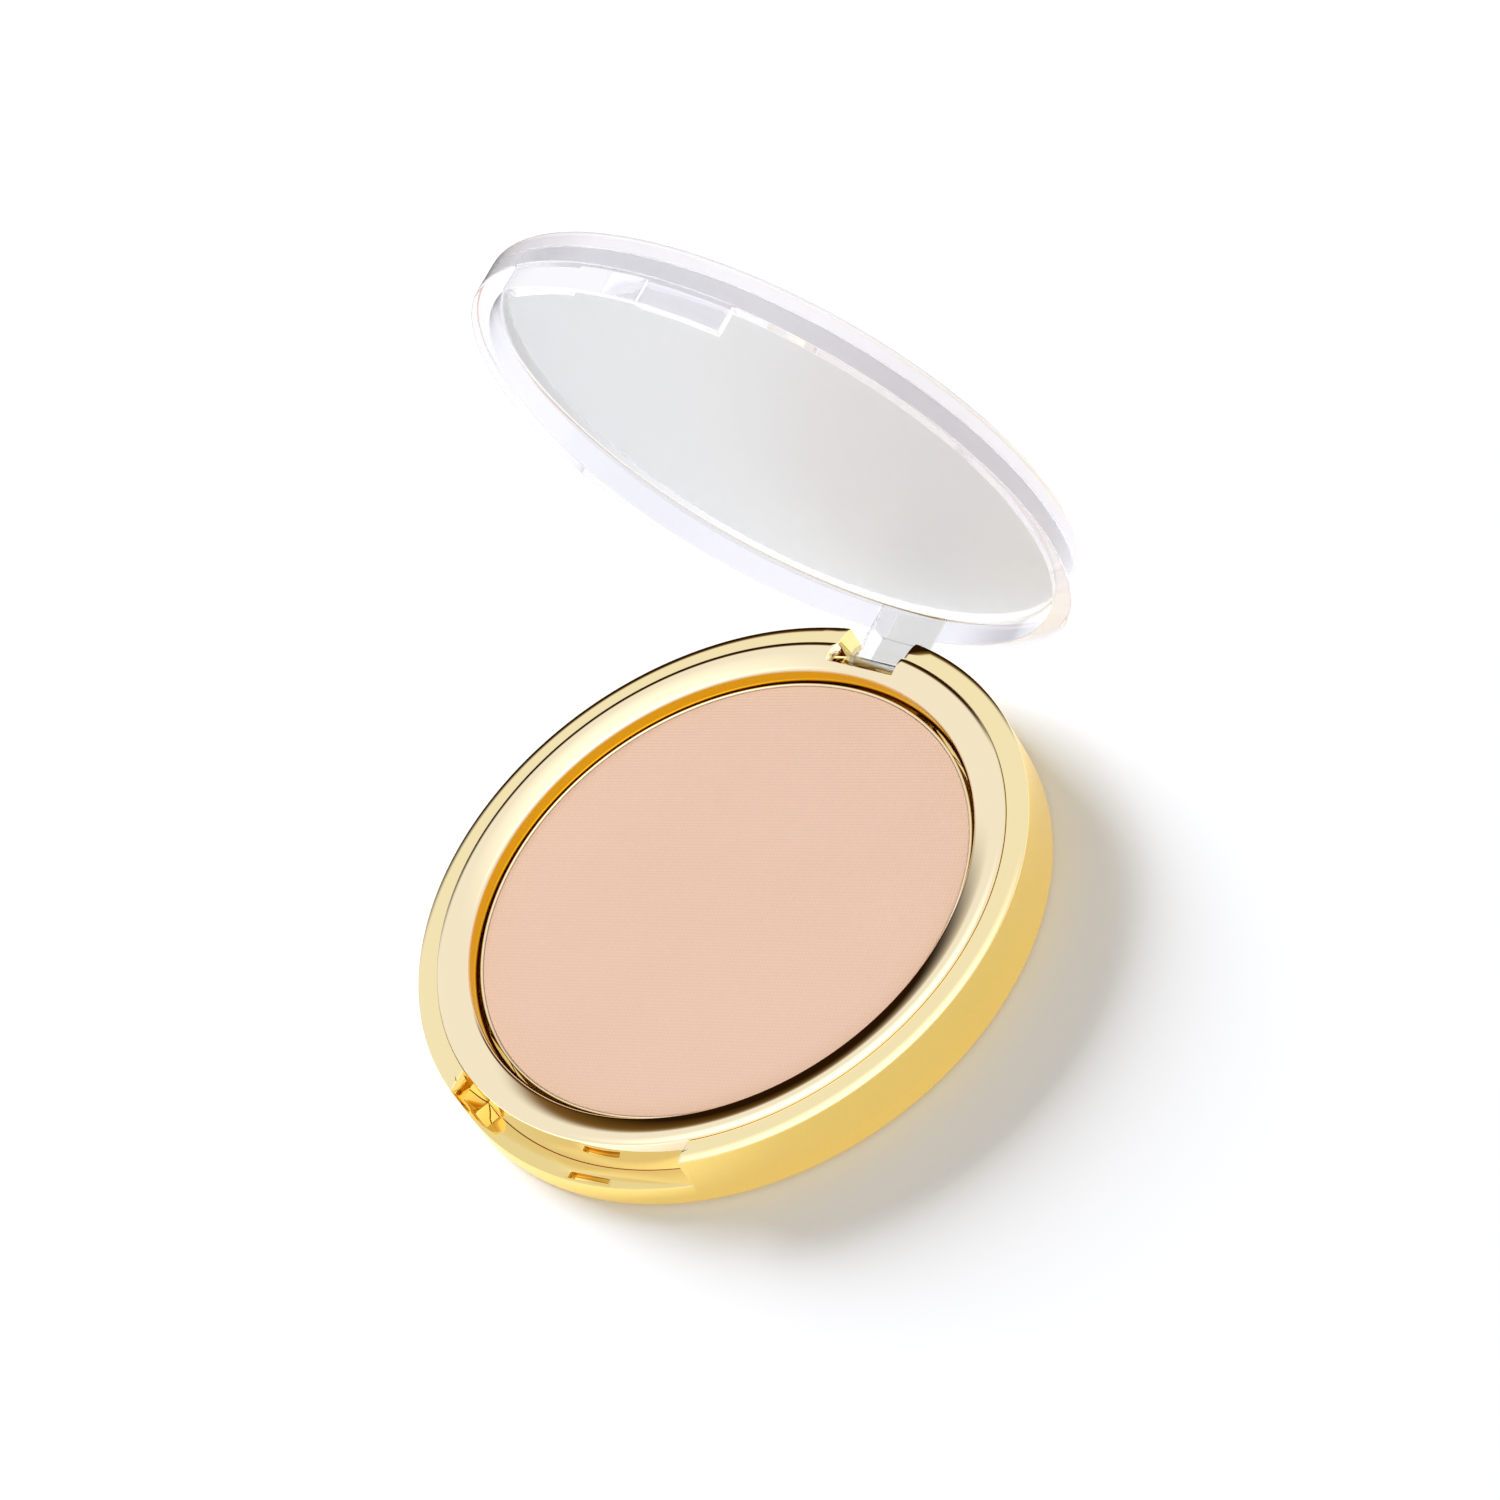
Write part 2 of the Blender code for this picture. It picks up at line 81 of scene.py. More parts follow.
print("base radius", round(BASE_RADIUS / MM, 2), "mm, lid opens", hinge["range_deg"])

# %% [markdown]
# ## Camera
# A long lens from above and from the right, rolled so that the compact leans over in the view,
# as a hand would tip it to show the powder. The lens has no shift, so the same camera can walk
# round the object for other views.

# %% Camera
AZIMUTH = math.radians(58.22)
ELEVATION = math.radians(43.12)
ROLL = math.radians(-33.65)
DISTANCE = 0.6027
ASIDE = 0.00369  # how far the camera stands to the right of the line to the seat's middle
ABOVE = 0.01514
LENS = 130.75
SENSOR = 36.0
BOUNCES = 24  # light crosses many walls of clear plastic before it comes out
MIRROR_BOUNCES = 16

towards = Vector((
    math.sin(AZIMUTH) * math.cos(ELEVATION),
    -math.cos(AZIMUTH) * math.cos(ELEVATION),
    math.sin(ELEVATION),
))
level_right = Vector((math.cos(AZIMUTH), math.sin(AZIMUTH), 0.0))
level_up = towards.cross(level_right)
right = math.cos(ROLL) * level_right + math.sin(ROLL) * level_up
up = -math.sin(ROLL) * level_right + math.cos(ROLL) * level_up
place = towards * DISTANCE + right * ASIDE + up * ABOVE + Vector((0.0, 0.0, SEAT))
camera_data = bpy.data.cameras.new("camera")
camera_data.lens = LENS
camera_data.sensor_width = SENSOR
camera_data.clip_start = 0.01
camera_data.clip_end = 20.0
camera = bpy.data.objects.new("camera", camera_data)
camera.matrix_world = Matrix((
    (right.x, up.x, towards.x, place.x),
    (right.y, up.y, towards.y, place.y),
    (right.z, up.z, towards.z, place.z),
    (0.0, 0.0, 0.0, 1.0),
))
bpy.context.scene.collection.objects.link(camera)
bpy.context.scene.camera = camera
bpy.context.scene.view_settings.view_transform = "Standard"
cycles = bpy.context.scene.cycles
cycles.max_bounces = BOUNCES
cycles.transmission_bounces = BOUNCES
cycles.transparent_max_bounces = BOUNCES
cycles.glossy_bounces = MIRROR_BOUNCES
print("camera", [round(c, 3) for c in place])

# %% [markdown]
# ## Two helpers for materials
# Colours are easiest to pick as the hex values of a paint chart, but the renderer adds light up
# in linear values, so one function turns the first into the second. The other adds one node with
# its settings and its links.

# %% Colour and node helpers
def linear(hex_colour):
    """sRGB hex to linear: each channel c becomes ((c + 0.055) / 1.055) ** 2.4, or c / 12.92 near black."""
    parts = [int(hex_colour[i : i + 2], 16) / 255 for i in (1, 3, 5)]
    return [c / 12.92 if c <= 0.04045 else ((c + 0.055) / 1.055) ** 2.4 for c in parts] + [1.0]


def node(tree, kind, inputs=None, **settings):
    """Adds a node. A value in inputs is either a number or colour, or a socket to link from.

    An input is named, or numbered where a node has several of one name: a Mix node of numbers
    takes 0 factor, 2 and 3 the values, and one of colours 0 factor, 6 and 7.
    """
    made = tree.nodes.new(kind)
    for name, value in settings.items():
        setattr(made, name, value)
    for name, value in (inputs or {}).items():
        socket = made.inputs[name]
        if isinstance(value, bpy.types.NodeSocket):
            tree.links.new(value, socket)
        else:
            socket.default_value = value
    return made


def new_material(name):
    """An empty node tree with its output, and the Principled shader that feeds it."""
    made = bpy.data.materials.new(name)
    made.use_nodes = True
    tree = made.node_tree
    tree.nodes.clear()
    shader = node(tree, "ShaderNodeBsdfPrincipled")
    node(tree, "ShaderNodeOutputMaterial", {"Surface": shader.outputs["BSDF"]})
    return made, tree, shader


print("linear of mid grey", round(linear("#808080")[0], 3))

# %% [markdown]
# ## Floor and studio
# The compact stands on a white table. The table is an ordinary matt surface, so it takes the
# soft shadow, and a little glow is added where the camera or a view through clear plastic looks
# at it, so that it reads as clean white. Polished metal has no look of its own: it shows what
# stands round it, and without something dark to mirror, its rounded edges would vanish. So the
# world and the table are painted as if a brown card stood low down behind the compact. Only rays
# that come off metal see it, through Light Path, and they also see a brighter table.

# %% Floor
FLOOR_RADIUS = 3.0
FLOOR_SIDES = 64
FLOOR_DROP = 0.00005  # a hair below the foot, so that the two faces don't fight
FLOOR_WHITE = "#EAEAEA"
FLOOR_ROUGHNESS = 0.9
FLOOR_GLOW = 0.10
MIRROR_GLOW = 0.37
CARD_HEADING = Vector((-0.68, 0.73, 0.0)).normalized()
CARD_TOP = "#8A6630"
CARD_FOOT = "#281605"
CARD_NEAR = 0.045  # the cloth under the card starts here, and is full by CARD_FAR
CARD_FAR = 0.10


def disc_mesh(name, radius, height, steps):
    """A flat disc: one ring of points at (r cos t, r sin t, height), filled as one face."""
    t = np.linspace(0.0, math.tau, steps, endpoint=False)
    points = np.stack([radius * np.cos(t), radius * np.sin(t), np.full(steps, height)], axis=1)
    mesh = bpy.data.meshes.new(name)
    mesh.from_pydata(points.tolist(), [], [list(range(steps))])
    return mesh


def seen_directly(tree):
    """1 for rays from the camera, a mirror reflection or a view through clear plastic, else 0."""
    path = node(tree, "ShaderNodeLightPath")
    first = node(tree, "ShaderNodeMath", {0: path.outputs["Is Camera Ray"],
                 1: path.outputs["Is Glossy Ray"]}, operation="MAXIMUM")
    both = node(tree, "ShaderNodeMath", {0: first.outputs[0],
                1: path.outputs["Is Transmission Ray"]}, operation="MAXIMUM")
    return path, both.outputs[0]


def off_metal(tree, path):
    """1 for a ray that a mirror has turned and that has passed through no plastic, else 0."""
    outside = node(tree, "ShaderNodeMath", {0: path.outputs["Transmission Depth"], 1: 0.5},
                   operation="LESS_THAN")
    both = node(tree, "ShaderNodeMath", {0: path.outputs["Is Glossy Ray"], 1: outside.outputs[0]},
                operation="MULTIPLY")
    return both.outputs[0]


table = disc_mesh("floor", FLOOR_RADIUS, -FLOOR_DROP, FLOOR_SIDES)
floor = bpy.data.objects.new("floor", table)
bpy.context.scene.collection.objects.link(floor)
white_table, tree, shader = new_material("white_laminate_table")
path, direct = seen_directly(tree)
where = node(tree, "ShaderNodeTexCoord")
behind = node(tree, "ShaderNodeVectorMath", {0: where.outputs["Object"], 1: CARD_HEADING},
              operation="DOT_PRODUCT")
card_cloth = node(tree, "ShaderNodeMapRange", {"Value": behind.outputs["Value"],
                  "From Min": CARD_NEAR, "From Max": CARD_FAR}, interpolation_type="SMOOTHSTEP")
mirrored = node(tree, "ShaderNodeMath", {0: card_cloth.outputs[0],
                1: off_metal(tree, path)}, operation="MULTIPLY")
cover = node(tree, "ShaderNodeMix", {0: mirrored.outputs[0], 6: linear(FLOOR_WHITE),
             7: linear(CARD_FOOT)}, data_type="RGBA")
bare = node(tree, "ShaderNodeMath", {0: 1.0, 1: mirrored.outputs[0]}, operation="SUBTRACT")
lit = node(tree, "ShaderNodeMath", {0: direct, 1: bare.outputs[0]}, operation="MULTIPLY")
amount = node(tree, "ShaderNodeMix", {0: off_metal(tree, path), 2: FLOOR_GLOW,
              3: MIRROR_GLOW}, data_type="FLOAT")
glow = node(tree, "ShaderNodeMath", {0: lit.outputs[0], 1: amount.outputs[0]},
            operation="MULTIPLY")
tree.links.new(cover.outputs[2], shader.inputs["Base Color"])
shader.inputs["Roughness"].default_value = FLOOR_ROUGHNESS
shader.inputs["Specular IOR Level"].default_value = 0.0
shader.inputs["Emission Color"].default_value = (1.0, 1.0, 1.0, 1.0)
tree.links.new(glow.outputs[0], shader.inputs["Emission Strength"])
floor.data.materials.append(white_table)
print("table", FLOOR_RADIUS, "m, card foot from", CARD_NEAR, "m")

# %% [markdown]
# The room is a white tent. It gives plain, slightly warm light, and the camera sees it as pure
# white. Off metal it has two more things in it: a brighter panel overhead, which gives the rings
# their sheen, and the brown card, which is lightest at its top.

# %% World
TENT_LIGHT = 0.56
TENT_SEEN = 0.96
TENT_TINT = "#FFF9F1"
STRIP_HEADING = Vector((0.30, -0.20, 0.93)).normalized()
STRIP_SEEN = 1.7
STRIP_SPREAD = (0.55, 0.98)  # cosines: its light starts at the first and is full at the second
CARD_SIDES = (0.74, 0.88)
CARD_EDGE = (0.50, 0.61)  # heights on a unit sphere, over which the card's top edge fades out
CARD_FADE = (0.36, 0.55)

world = bpy.data.worlds.new("studio_tent")
world.use_nodes = True
bpy.context.scene.world = world
tree = world.node_tree
tree.nodes.clear()
heading = node(tree, "ShaderNodeTexCoord")
apart = node(tree, "ShaderNodeSeparateXYZ", {0: heading.outputs["Generated"]})
facing = node(tree, "ShaderNodeVectorMath", {0: heading.outputs["Generated"],
              1: CARD_HEADING}, operation="DOT_PRODUCT")
across_card = node(tree, "ShaderNodeMapRange", {"Value": facing.outputs["Value"],
                   "From Min": CARD_SIDES[0], "From Max": CARD_SIDES[1]},
                   interpolation_type="SMOOTHSTEP")
under_top = node(tree, "ShaderNodeMapRange", {"Value": apart.outputs["Z"],
                 "From Min": CARD_EDGE[0], "From Max": CARD_EDGE[1], "To Min": 1.0,
                 "To Max": 0.0}, interpolation_type="SMOOTHSTEP")
on_card = node(tree, "ShaderNodeMath", {0: across_card.outputs[0], 1: under_top.outputs[0]},
               operation="MULTIPLY")
above = node(tree, "ShaderNodeVectorMath", {0: heading.outputs["Generated"],
             1: STRIP_HEADING}, operation="DOT_PRODUCT")
on_strip = node(tree, "ShaderNodeMapRange", {"Value": above.outputs["Value"],
                "From Min": STRIP_SPREAD[0], "From Max": STRIP_SPREAD[1],
                "To Min": TENT_SEEN, "To Max": STRIP_SEEN}, interpolation_type="SMOOTHSTEP")
path = node(tree, "ShaderNodeLightPath")
clear_view = node(tree, "ShaderNodeMath", {0: path.outputs["Is Camera Ray"],
                  1: path.outputs["Is Transmission Ray"]}, operation="MAXIMUM")
indirect = node(tree, "ShaderNodeMix", {0: path.outputs["Is Glossy Ray"], 2: TENT_LIGHT,
                3: 1.0}, data_type="FLOAT")
mirrored = node(tree, "ShaderNodeMix", {0: off_metal(tree, path), 2: indirect.outputs[0],
                3: on_strip.outputs[0]}, data_type="FLOAT")
seen_card = node(tree, "ShaderNodeMath", {0: on_card.outputs[0], 1: off_metal(tree, path)},
                 operation="MULTIPLY")
strength = node(tree, "ShaderNodeMix", {0: clear_view.outputs[0], 2: mirrored.outputs[0],
                3: 1.0}, data_type="FLOAT")
shown = node(tree, "ShaderNodeMath", {0: clear_view.outputs[0],
             1: path.outputs["Is Glossy Ray"]}, operation="MAXIMUM")
shade = node(tree, "ShaderNodeMix", {0: shown.outputs[0], 6: linear(TENT_TINT),
             7: linear("#FFFFFF")}, data_type="RGBA")
up_card = node(tree, "ShaderNodeMapRange", {"Value": apart.outputs["Z"],
               "From Min": CARD_FADE[0], "From Max": CARD_FADE[1]})
card_face = node(tree, "ShaderNodeMix", {0: up_card.outputs[0], 6: linear(CARD_FOOT),
                 7: linear(CARD_TOP)}, data_type="RGBA")
tent_cloth = node(tree, "ShaderNodeMix", {0: seen_card.outputs[0], 6: shade.outputs[2],
                  7: card_face.outputs[2]}, data_type="RGBA")
background = node(tree, "ShaderNodeBackground", {"Color": tent_cloth.outputs[2],
                  "Strength": strength.outputs[0]})
node(tree, "ShaderNodeOutputWorld", {"Surface": background.outputs[0]})
print("tent", TENT_LIGHT, "card heading", [round(c, 2) for c in CARD_HEADING])

# %% [markdown]
# Two soft boxes hang over the compact, a key on one side and a weaker fill on the other. The long
# soft shadow comes from a third, bigger one further off and lower down, on the side of the key. So
# low a lamp would also throw the rim's shadow across the powder, so it lights the table alone, and
# the other two leave the table out. Blender calls this light linking.

# %% Lamps
def soft_box(name, heading, distance, size, power, colour):
    """A square lamp that hangs in a direction from the compact and faces it."""
    data = bpy.data.lights.new(name, "AREA")
    data.shape = "SQUARE"
    data.size = size
    data.energy = power
    data.color = linear(colour)[:3]
    lamp = bpy.data.objects.new(name, data)
    away = Vector(heading).normalized()
    lamp.location = away * distance
    lamp.rotation_mode = "QUATERNION"
    lamp.rotation_quaternion = away.to_track_quat("Z", "Y")
    lamp.visible_glossy = False
    lamp.visible_transmission = False
    bpy.context.scene.collection.objects.link(lamp)
    return lamp


key_box = soft_box("key_soft_box", (-0.70, 0.22, 0.70), 1.2, 0.60, 5.6, "#FFFFFF")
fill_box = soft_box("fill_soft_box", (0.60, -0.50, 0.62), 1.2, 0.80, 4.0, "#FFFFFF")
low_box = soft_box("low_soft_box", (-0.909, 0.211, 0.360), 3.5, 1.6, 257.0, "#ECF3FF")
table_only = bpy.data.collections.new("table_only")
table_only.objects.link(floor)
low_box.light_linking.receiver_collection = table_only
all_but_table = bpy.data.collections.new("all_but_table")
all_but_table.objects.link(floor)
all_but_table.collection_objects[0].light_linking.link_state = "EXCLUDE"
for lamp in (key_box, fill_box):
    lamp.light_linking.receiver_collection = all_but_table
print("lamps:", ", ".join(lamp.name for lamp in (key_box, fill_box, low_box)))

# %% [markdown]
# ## Finishes
# The case is moulded ABS with a thin metal film under tinted lacquer. On the rings, the ledge and
# the hinge the mould is polished, so the film is a yellow mirror. On the side the mould is fine
# blasted, so the same film scatters light: a satin gold with a very fine grain.
# Two deeper copies of the polished gold are painted reflection and shade: amber on the well's wall, and a
# deeper yellow in the hollows of recess and notch, where gold walls mirror each other.

# %% Gold plating
MIRROR_ROUGHNESS = 0.03
SATIN_ROUGHNESS = 0.34
CLOUD_SIZE = 9.0 * MM  # slow change of the roughness over the surface, by CLOUD_SHARE each way
CLOUD_SHARE = 0.12


def gold(name, colour, roughness, grain, grain_size_mm, coat):
    """Metal film: fine noise in Object coordinates lifts the surface and varies its roughness."""
    made, tree, shader = new_material(name)
    where = node(tree, "ShaderNodeTexCoord")
    speckle = node(tree, "ShaderNodeTexNoise", {"Vector": where.outputs["Object"],
                   "Scale": 1.0 / (grain_size_mm * MM), "Detail": 2.0})
    wide = node(tree, "ShaderNodeTexNoise", {"Vector": where.outputs["Object"],
                "Scale": 1.0 / CLOUD_SIZE, "Detail": 3.0})
    rough = node(tree, "ShaderNodeMapRange", {"Value": wide.outputs["Fac"], "From Min": 0.3,
                 "From Max": 0.7, "To Min": roughness * (1 - CLOUD_SHARE),
                 "To Max": roughness * (1 + CLOUD_SHARE)})
    tint = node(tree, "ShaderNodeMix", {0: speckle.outputs["Fac"],
                6: [c * (1 - grain) for c in linear(colour)[:3]] + [1.0],
                7: linear(colour)}, data_type="RGBA")
    bump = node(tree, "ShaderNodeBump", {"Height": speckle.outputs["Fac"],
                "Strength": min(1.0, grain * 2), "Distance": 0.01 * MM})
    tree.links.new(tint.outputs[2], shader.inputs["Base Color"])
    tree.links.new(rough.outputs[0], shader.inputs["Roughness"])
    tree.links.new(bump.outputs[0], shader.inputs["Normal"])
    shader.inputs["Metallic"].default_value = 1.0
    shader.inputs["Coat Weight"].default_value = coat
    shader.inputs["Coat Roughness"].default_value = MIRROR_ROUGHNESS
    return made


polished_gold = gold("polished_gold_plated_abs", "#F8E9C5", MIRROR_ROUGHNESS, 0.006, 0.5, 0.6)
satin_gold = gold("satin_gold_plated_abs", "#F8DA80", SATIN_ROUGHNESS, 0.10, 0.16, 0.0)
# Painted reflection: a deeper amber copy of the gold for the well's wall, standing in for gold mirrored in
# gold
well_gold_painted_reflection = gold("well_wall_amber_painted_reflection", "#EDBE18", MIRROR_ROUGHNESS, 0.006, 0.5, 0.3)
seat_gold = gold("bright_gold_plated_abs", "#F8E6B2", MIRROR_ROUGHNESS, 0.006, 0.5, 0.6)
# Painted shade and reflection: a deeper yellow copy of the gold for the hollows of recess and notch
recess_gold_painted_shade = gold("recess_and_notch_gold_painted_shade", "#EDD690", MIRROR_ROUGHNESS, 0.006, 0.5, 0.3)
finishes = (polished_gold, satin_gold, well_gold_painted_reflection, seat_gold, recess_gold_painted_shade)
print("gold finishes:", ", ".join(finish.name for finish in finishes))

# %% [markdown]
# The lid is polystyrene, clear and very glossy. It bends light strongly (IOR 1.59), so its thick
# skirt gathers the light of the room, and its faint violet tint shows where the light runs a long
# way through it. The thin disc looks like smoked glass, a soft even grey. It is drawn as a thin
# veil: partly see-through, with a grey tint and a softer gloss.

# %% Clear plastic
DISC_TINT = "#3A3938"
SKIRT_TINT = "#F5F3FA"
DISC_END = (0.925, 0.945)  # shares of the lid's radius, between which disc turns into skirt
DISC_VEIL = 0.31
DISC_GLOSS = 0.45
SKIRT_GLOSS = 0.015


def clear_styrene():
    """Clear plastic: the tint goes from grey on the disc to pale violet on the skirt."""
    made, tree, shader = new_material("clear_polystyrene")
    local = node(tree, "ShaderNodeUVMap", uv_map="from_axis")
    apart = node(tree, "ShaderNodeSeparateXYZ", {0: local.outputs["UV"]})
    edge = node(tree, "ShaderNodeMapRange", {"Value": apart.outputs["X"], "From Min": DISC_END[0],
                "From Max": DISC_END[1]}, interpolation_type="SMOOTHSTEP")
    tint = node(tree, "ShaderNodeMix", {0: edge.outputs[0], 6: linear(DISC_TINT),
                7: linear(SKIRT_TINT)}, data_type="RGBA")
    solidity = node(tree, "ShaderNodeMapRange", {"Value": edge.outputs[0], "To Min": DISC_VEIL,
                    "To Max": 1.0})
    where = node(tree, "ShaderNodeTexCoord")
    flow = node(tree, "ShaderNodeTexNoise", {"Vector": where.outputs["Object"],
                "Scale": 1.0 / (7.0 * MM), "Detail": 1.0})
    ripple = node(tree, "ShaderNodeBump", {"Height": flow.outputs["Fac"], "Strength": 0.25,
                  "Distance": 0.02 * MM})
    tree.links.new(tint.outputs[2], shader.inputs["Base Color"])
    tree.links.new(ripple.outputs[0], shader.inputs["Normal"])
    tree.links.new(solidity.outputs[0], shader.inputs["Alpha"])
    gloss = node(tree, "ShaderNodeMapRange", {"Value": edge.outputs[0], "To Min": DISC_GLOSS,
                 "To Max": SKIRT_GLOSS})
    tree.links.new(gloss.outputs[0], shader.inputs["Roughness"])
    shader.inputs["IOR"].default_value = 1.59
    shader.inputs["Transmission Weight"].default_value = 1.0
    return made


clear_plastic = clear_styrene()
print("clear plastic:", clear_plastic.name)

# %% [markdown]
# Pressed powder is talc and pigment pressed under a cloth, which leaves its weave in the top: two
# sets of fine ribs at right angles. It is quite matt. Real threads lie about 0.3 mm apart, and
# they are drawn a little coarser, so that they show.
# The ribs also lighten and darken the colour with their height: painted shade on the weave.

# %% Pressed powder
THREAD_PITCH = 0.42 * MM
GRAIN_SIZE = 0.15 * MM
TONE_SIZE = 12.0 * MM
POWDER_TURN = math.radians(-14.0)


def pressed_powder():
    """Weave: sin(x) plus sin(y) at the thread pitch lifts the surface and paints shade into its colour;
    noise adds grain and tone.
    """
    made, tree, shader = new_material("pressed_face_powder")
    where = node(tree, "ShaderNodeTexCoord")
    turned = node(tree, "ShaderNodeMapping", {"Vector": where.outputs["Object"],
                  "Rotation": (0.0, 0.0, POWDER_TURN), "Scale": [math.tau / THREAD_PITCH] * 3})
    axes = node(tree, "ShaderNodeSeparateXYZ", {0: turned.outputs[0]})
    warp = node(tree, "ShaderNodeMath", {0: axes.outputs["X"]}, operation="SINE")
    weft = node(tree, "ShaderNodeMath", {0: axes.outputs["Y"]}, operation="SINE")
    cloth = node(tree, "ShaderNodeMath", {0: warp.outputs[0], 1: weft.outputs[0]}, operation="ADD")
    grain = node(tree, "ShaderNodeTexNoise", {"Vector": where.outputs["Object"],
                 "Scale": 1.0 / GRAIN_SIZE, "Detail": 2.0})
    tone = node(tree, "ShaderNodeTexNoise", {"Vector": where.outputs["Object"],
                "Scale": 1.0 / TONE_SIZE, "Detail": 2.0})
    raised = node(tree, "ShaderNodeMath", {0: grain.outputs["Fac"], 1: 0.8, 2: cloth.outputs[0]},
                  operation="MULTIPLY_ADD")
    # Partly the powder's own grain, partly painted shade: the threads' height lightens their tops and
    # darkens between them
    shade = node(tree, "ShaderNodeMapRange", {"Value": raised.outputs[0], "From Min": -1.6,
                 "From Max": 2.4, "To Min": 0.27, "To Max": 0.73})
    mixed = node(tree, "ShaderNodeMath", {0: tone.outputs["Fac"], 1: 0.3, 2: shade.outputs[0]},
                 operation="MULTIPLY_ADD")
    colour = node(tree, "ShaderNodeMix", {0: mixed.outputs[0], 6: linear("#E8C4AE"),
                  7: linear("#F7D6C3")}, data_type="RGBA")
    bump = node(tree, "ShaderNodeBump", {"Height": raised.outputs[0], "Strength": 0.60,
                "Distance": 0.02 * MM})
    tree.links.new(colour.outputs[2], shader.inputs["Base Color"])
    tree.links.new(bump.outputs[0], shader.inputs["Normal"])
    shader.inputs["Roughness"].default_value = 0.85
    shader.inputs["Specular IOR Level"].default_value = 0.2
    return made


powder = pressed_powder()
print("threads", round(THREAD_PITCH / MM, 2), "mm apart")

# %% [markdown]
# The pan is thin aluminium sheet, drawn in a press. The pin is drawn steel wire, with fine lines
# along it. The pad is foam with glue on both sides, and the label is satin paper.

# %% Pan, pin, pad and label
def plain(name, dark, light, metallic, roughness, size_mm, stretch, lift):
    """Noise in Object coordinates, stretched by axis, mixes two colours and lifts the surface."""
    made, tree, shader = new_material(name)
    where = node(tree, "ShaderNodeTexCoord")
    fitted = node(tree, "ShaderNodeMapping", {"Vector": where.outputs["Object"], "Scale": stretch})
    marks = node(tree, "ShaderNodeTexNoise", {"Vector": fitted.outputs[0],
                 "Scale": 1.0 / (size_mm * MM), "Detail": 3.0})
    colour = node(tree, "ShaderNodeMix", {0: marks.outputs["Fac"], 6: linear(dark),
                  7: linear(light)}, data_type="RGBA")
    bump = node(tree, "ShaderNodeBump", {"Height": marks.outputs["Fac"], "Strength": lift,
                "Distance": 0.01 * MM})
    tree.links.new(colour.outputs[2], shader.inputs["Base Color"])
    tree.links.new(bump.outputs[0], shader.inputs["Normal"])
    shader.inputs["Metallic"].default_value = metallic
    shader.inputs["Roughness"].default_value = roughness
    return made


pan_aluminium = plain("drawn_aluminium_sheet", "#EADFC4", "#F7EFDC", 1.0, 0.22, 0.4, (1, 1, 1), 0.2)
pin_steel = plain("drawn_steel_wire", "#C9C7C3", "#E6E4E0", 1.0, 0.25, 0.1, (0.1, 1, 1), 0.4)
pad_foam = plain("double_sided_foam", "#D6D4CC", "#E6E4DE", 0.0, 0.9, 0.3, (1, 1, 1), 0.6)
label_paper = plain("satin_label_paper", "#E4E2DC", "#EFEDE8", 0.0, 0.5, 0.25, (1, 1, 1), 0.3)
print("plain finishes: pan, pin, pad, label")

# %% [markdown]
# ## Turned surfaces
# Nearly all of a compact is round. A round piece is one profile in radius and height, swept once
# about the middle. The measured model turns its profiles in 96 steps, enough for measuring, but a
# mirror shows every flat. So the bright pieces are swept again here, in 288 steps.

# %% Turned surface
NEAR = 0.15 * MM  # more than any bevel is wide, so that no bevel runs past these points
SAME_PLACE = 1e-7


def oval(centre, wide, high, start, end, count):
    """Points at centre + (wide cos a, high sin a), with a from start to end in degrees."""
    a = np.radians(np.linspace(start, end, count))
    return np.stack([centre[0] + wide * np.cos(a), centre[1] + high * np.sin(a)], axis=1)


def arc(centre, radius, start, end, count):
    """Points at centre + radius (cos a, sin a): an oval whose half-axes are equal."""
    return oval(centre, radius, radius, start, end, count)


def supported(profile):
    """Adds a point NEAR each end of every long straight part, so its shading stays flat."""
    points = np.concatenate([np.atleast_2d(np.asarray(p, float)) for p in profile])
    ends = np.roll(points, -1, axis=0)
    length = np.linalg.norm(ends - points, axis=1)
    along = (ends - points) / np.maximum(length, 1e-9)[:, None]
    long_enough = (length > 6 * NEAR)[:, None]
    first = np.where(long_enough, points + along * NEAR, points)
    second = np.where(long_enough, ends - along * NEAR, points)
    trio = np.stack([points, first, second], axis=1)
    keep = np.stack([np.ones(len(points), bool), long_enough[:, 0], long_enough[:, 0]], axis=1)
    return trio[keep]


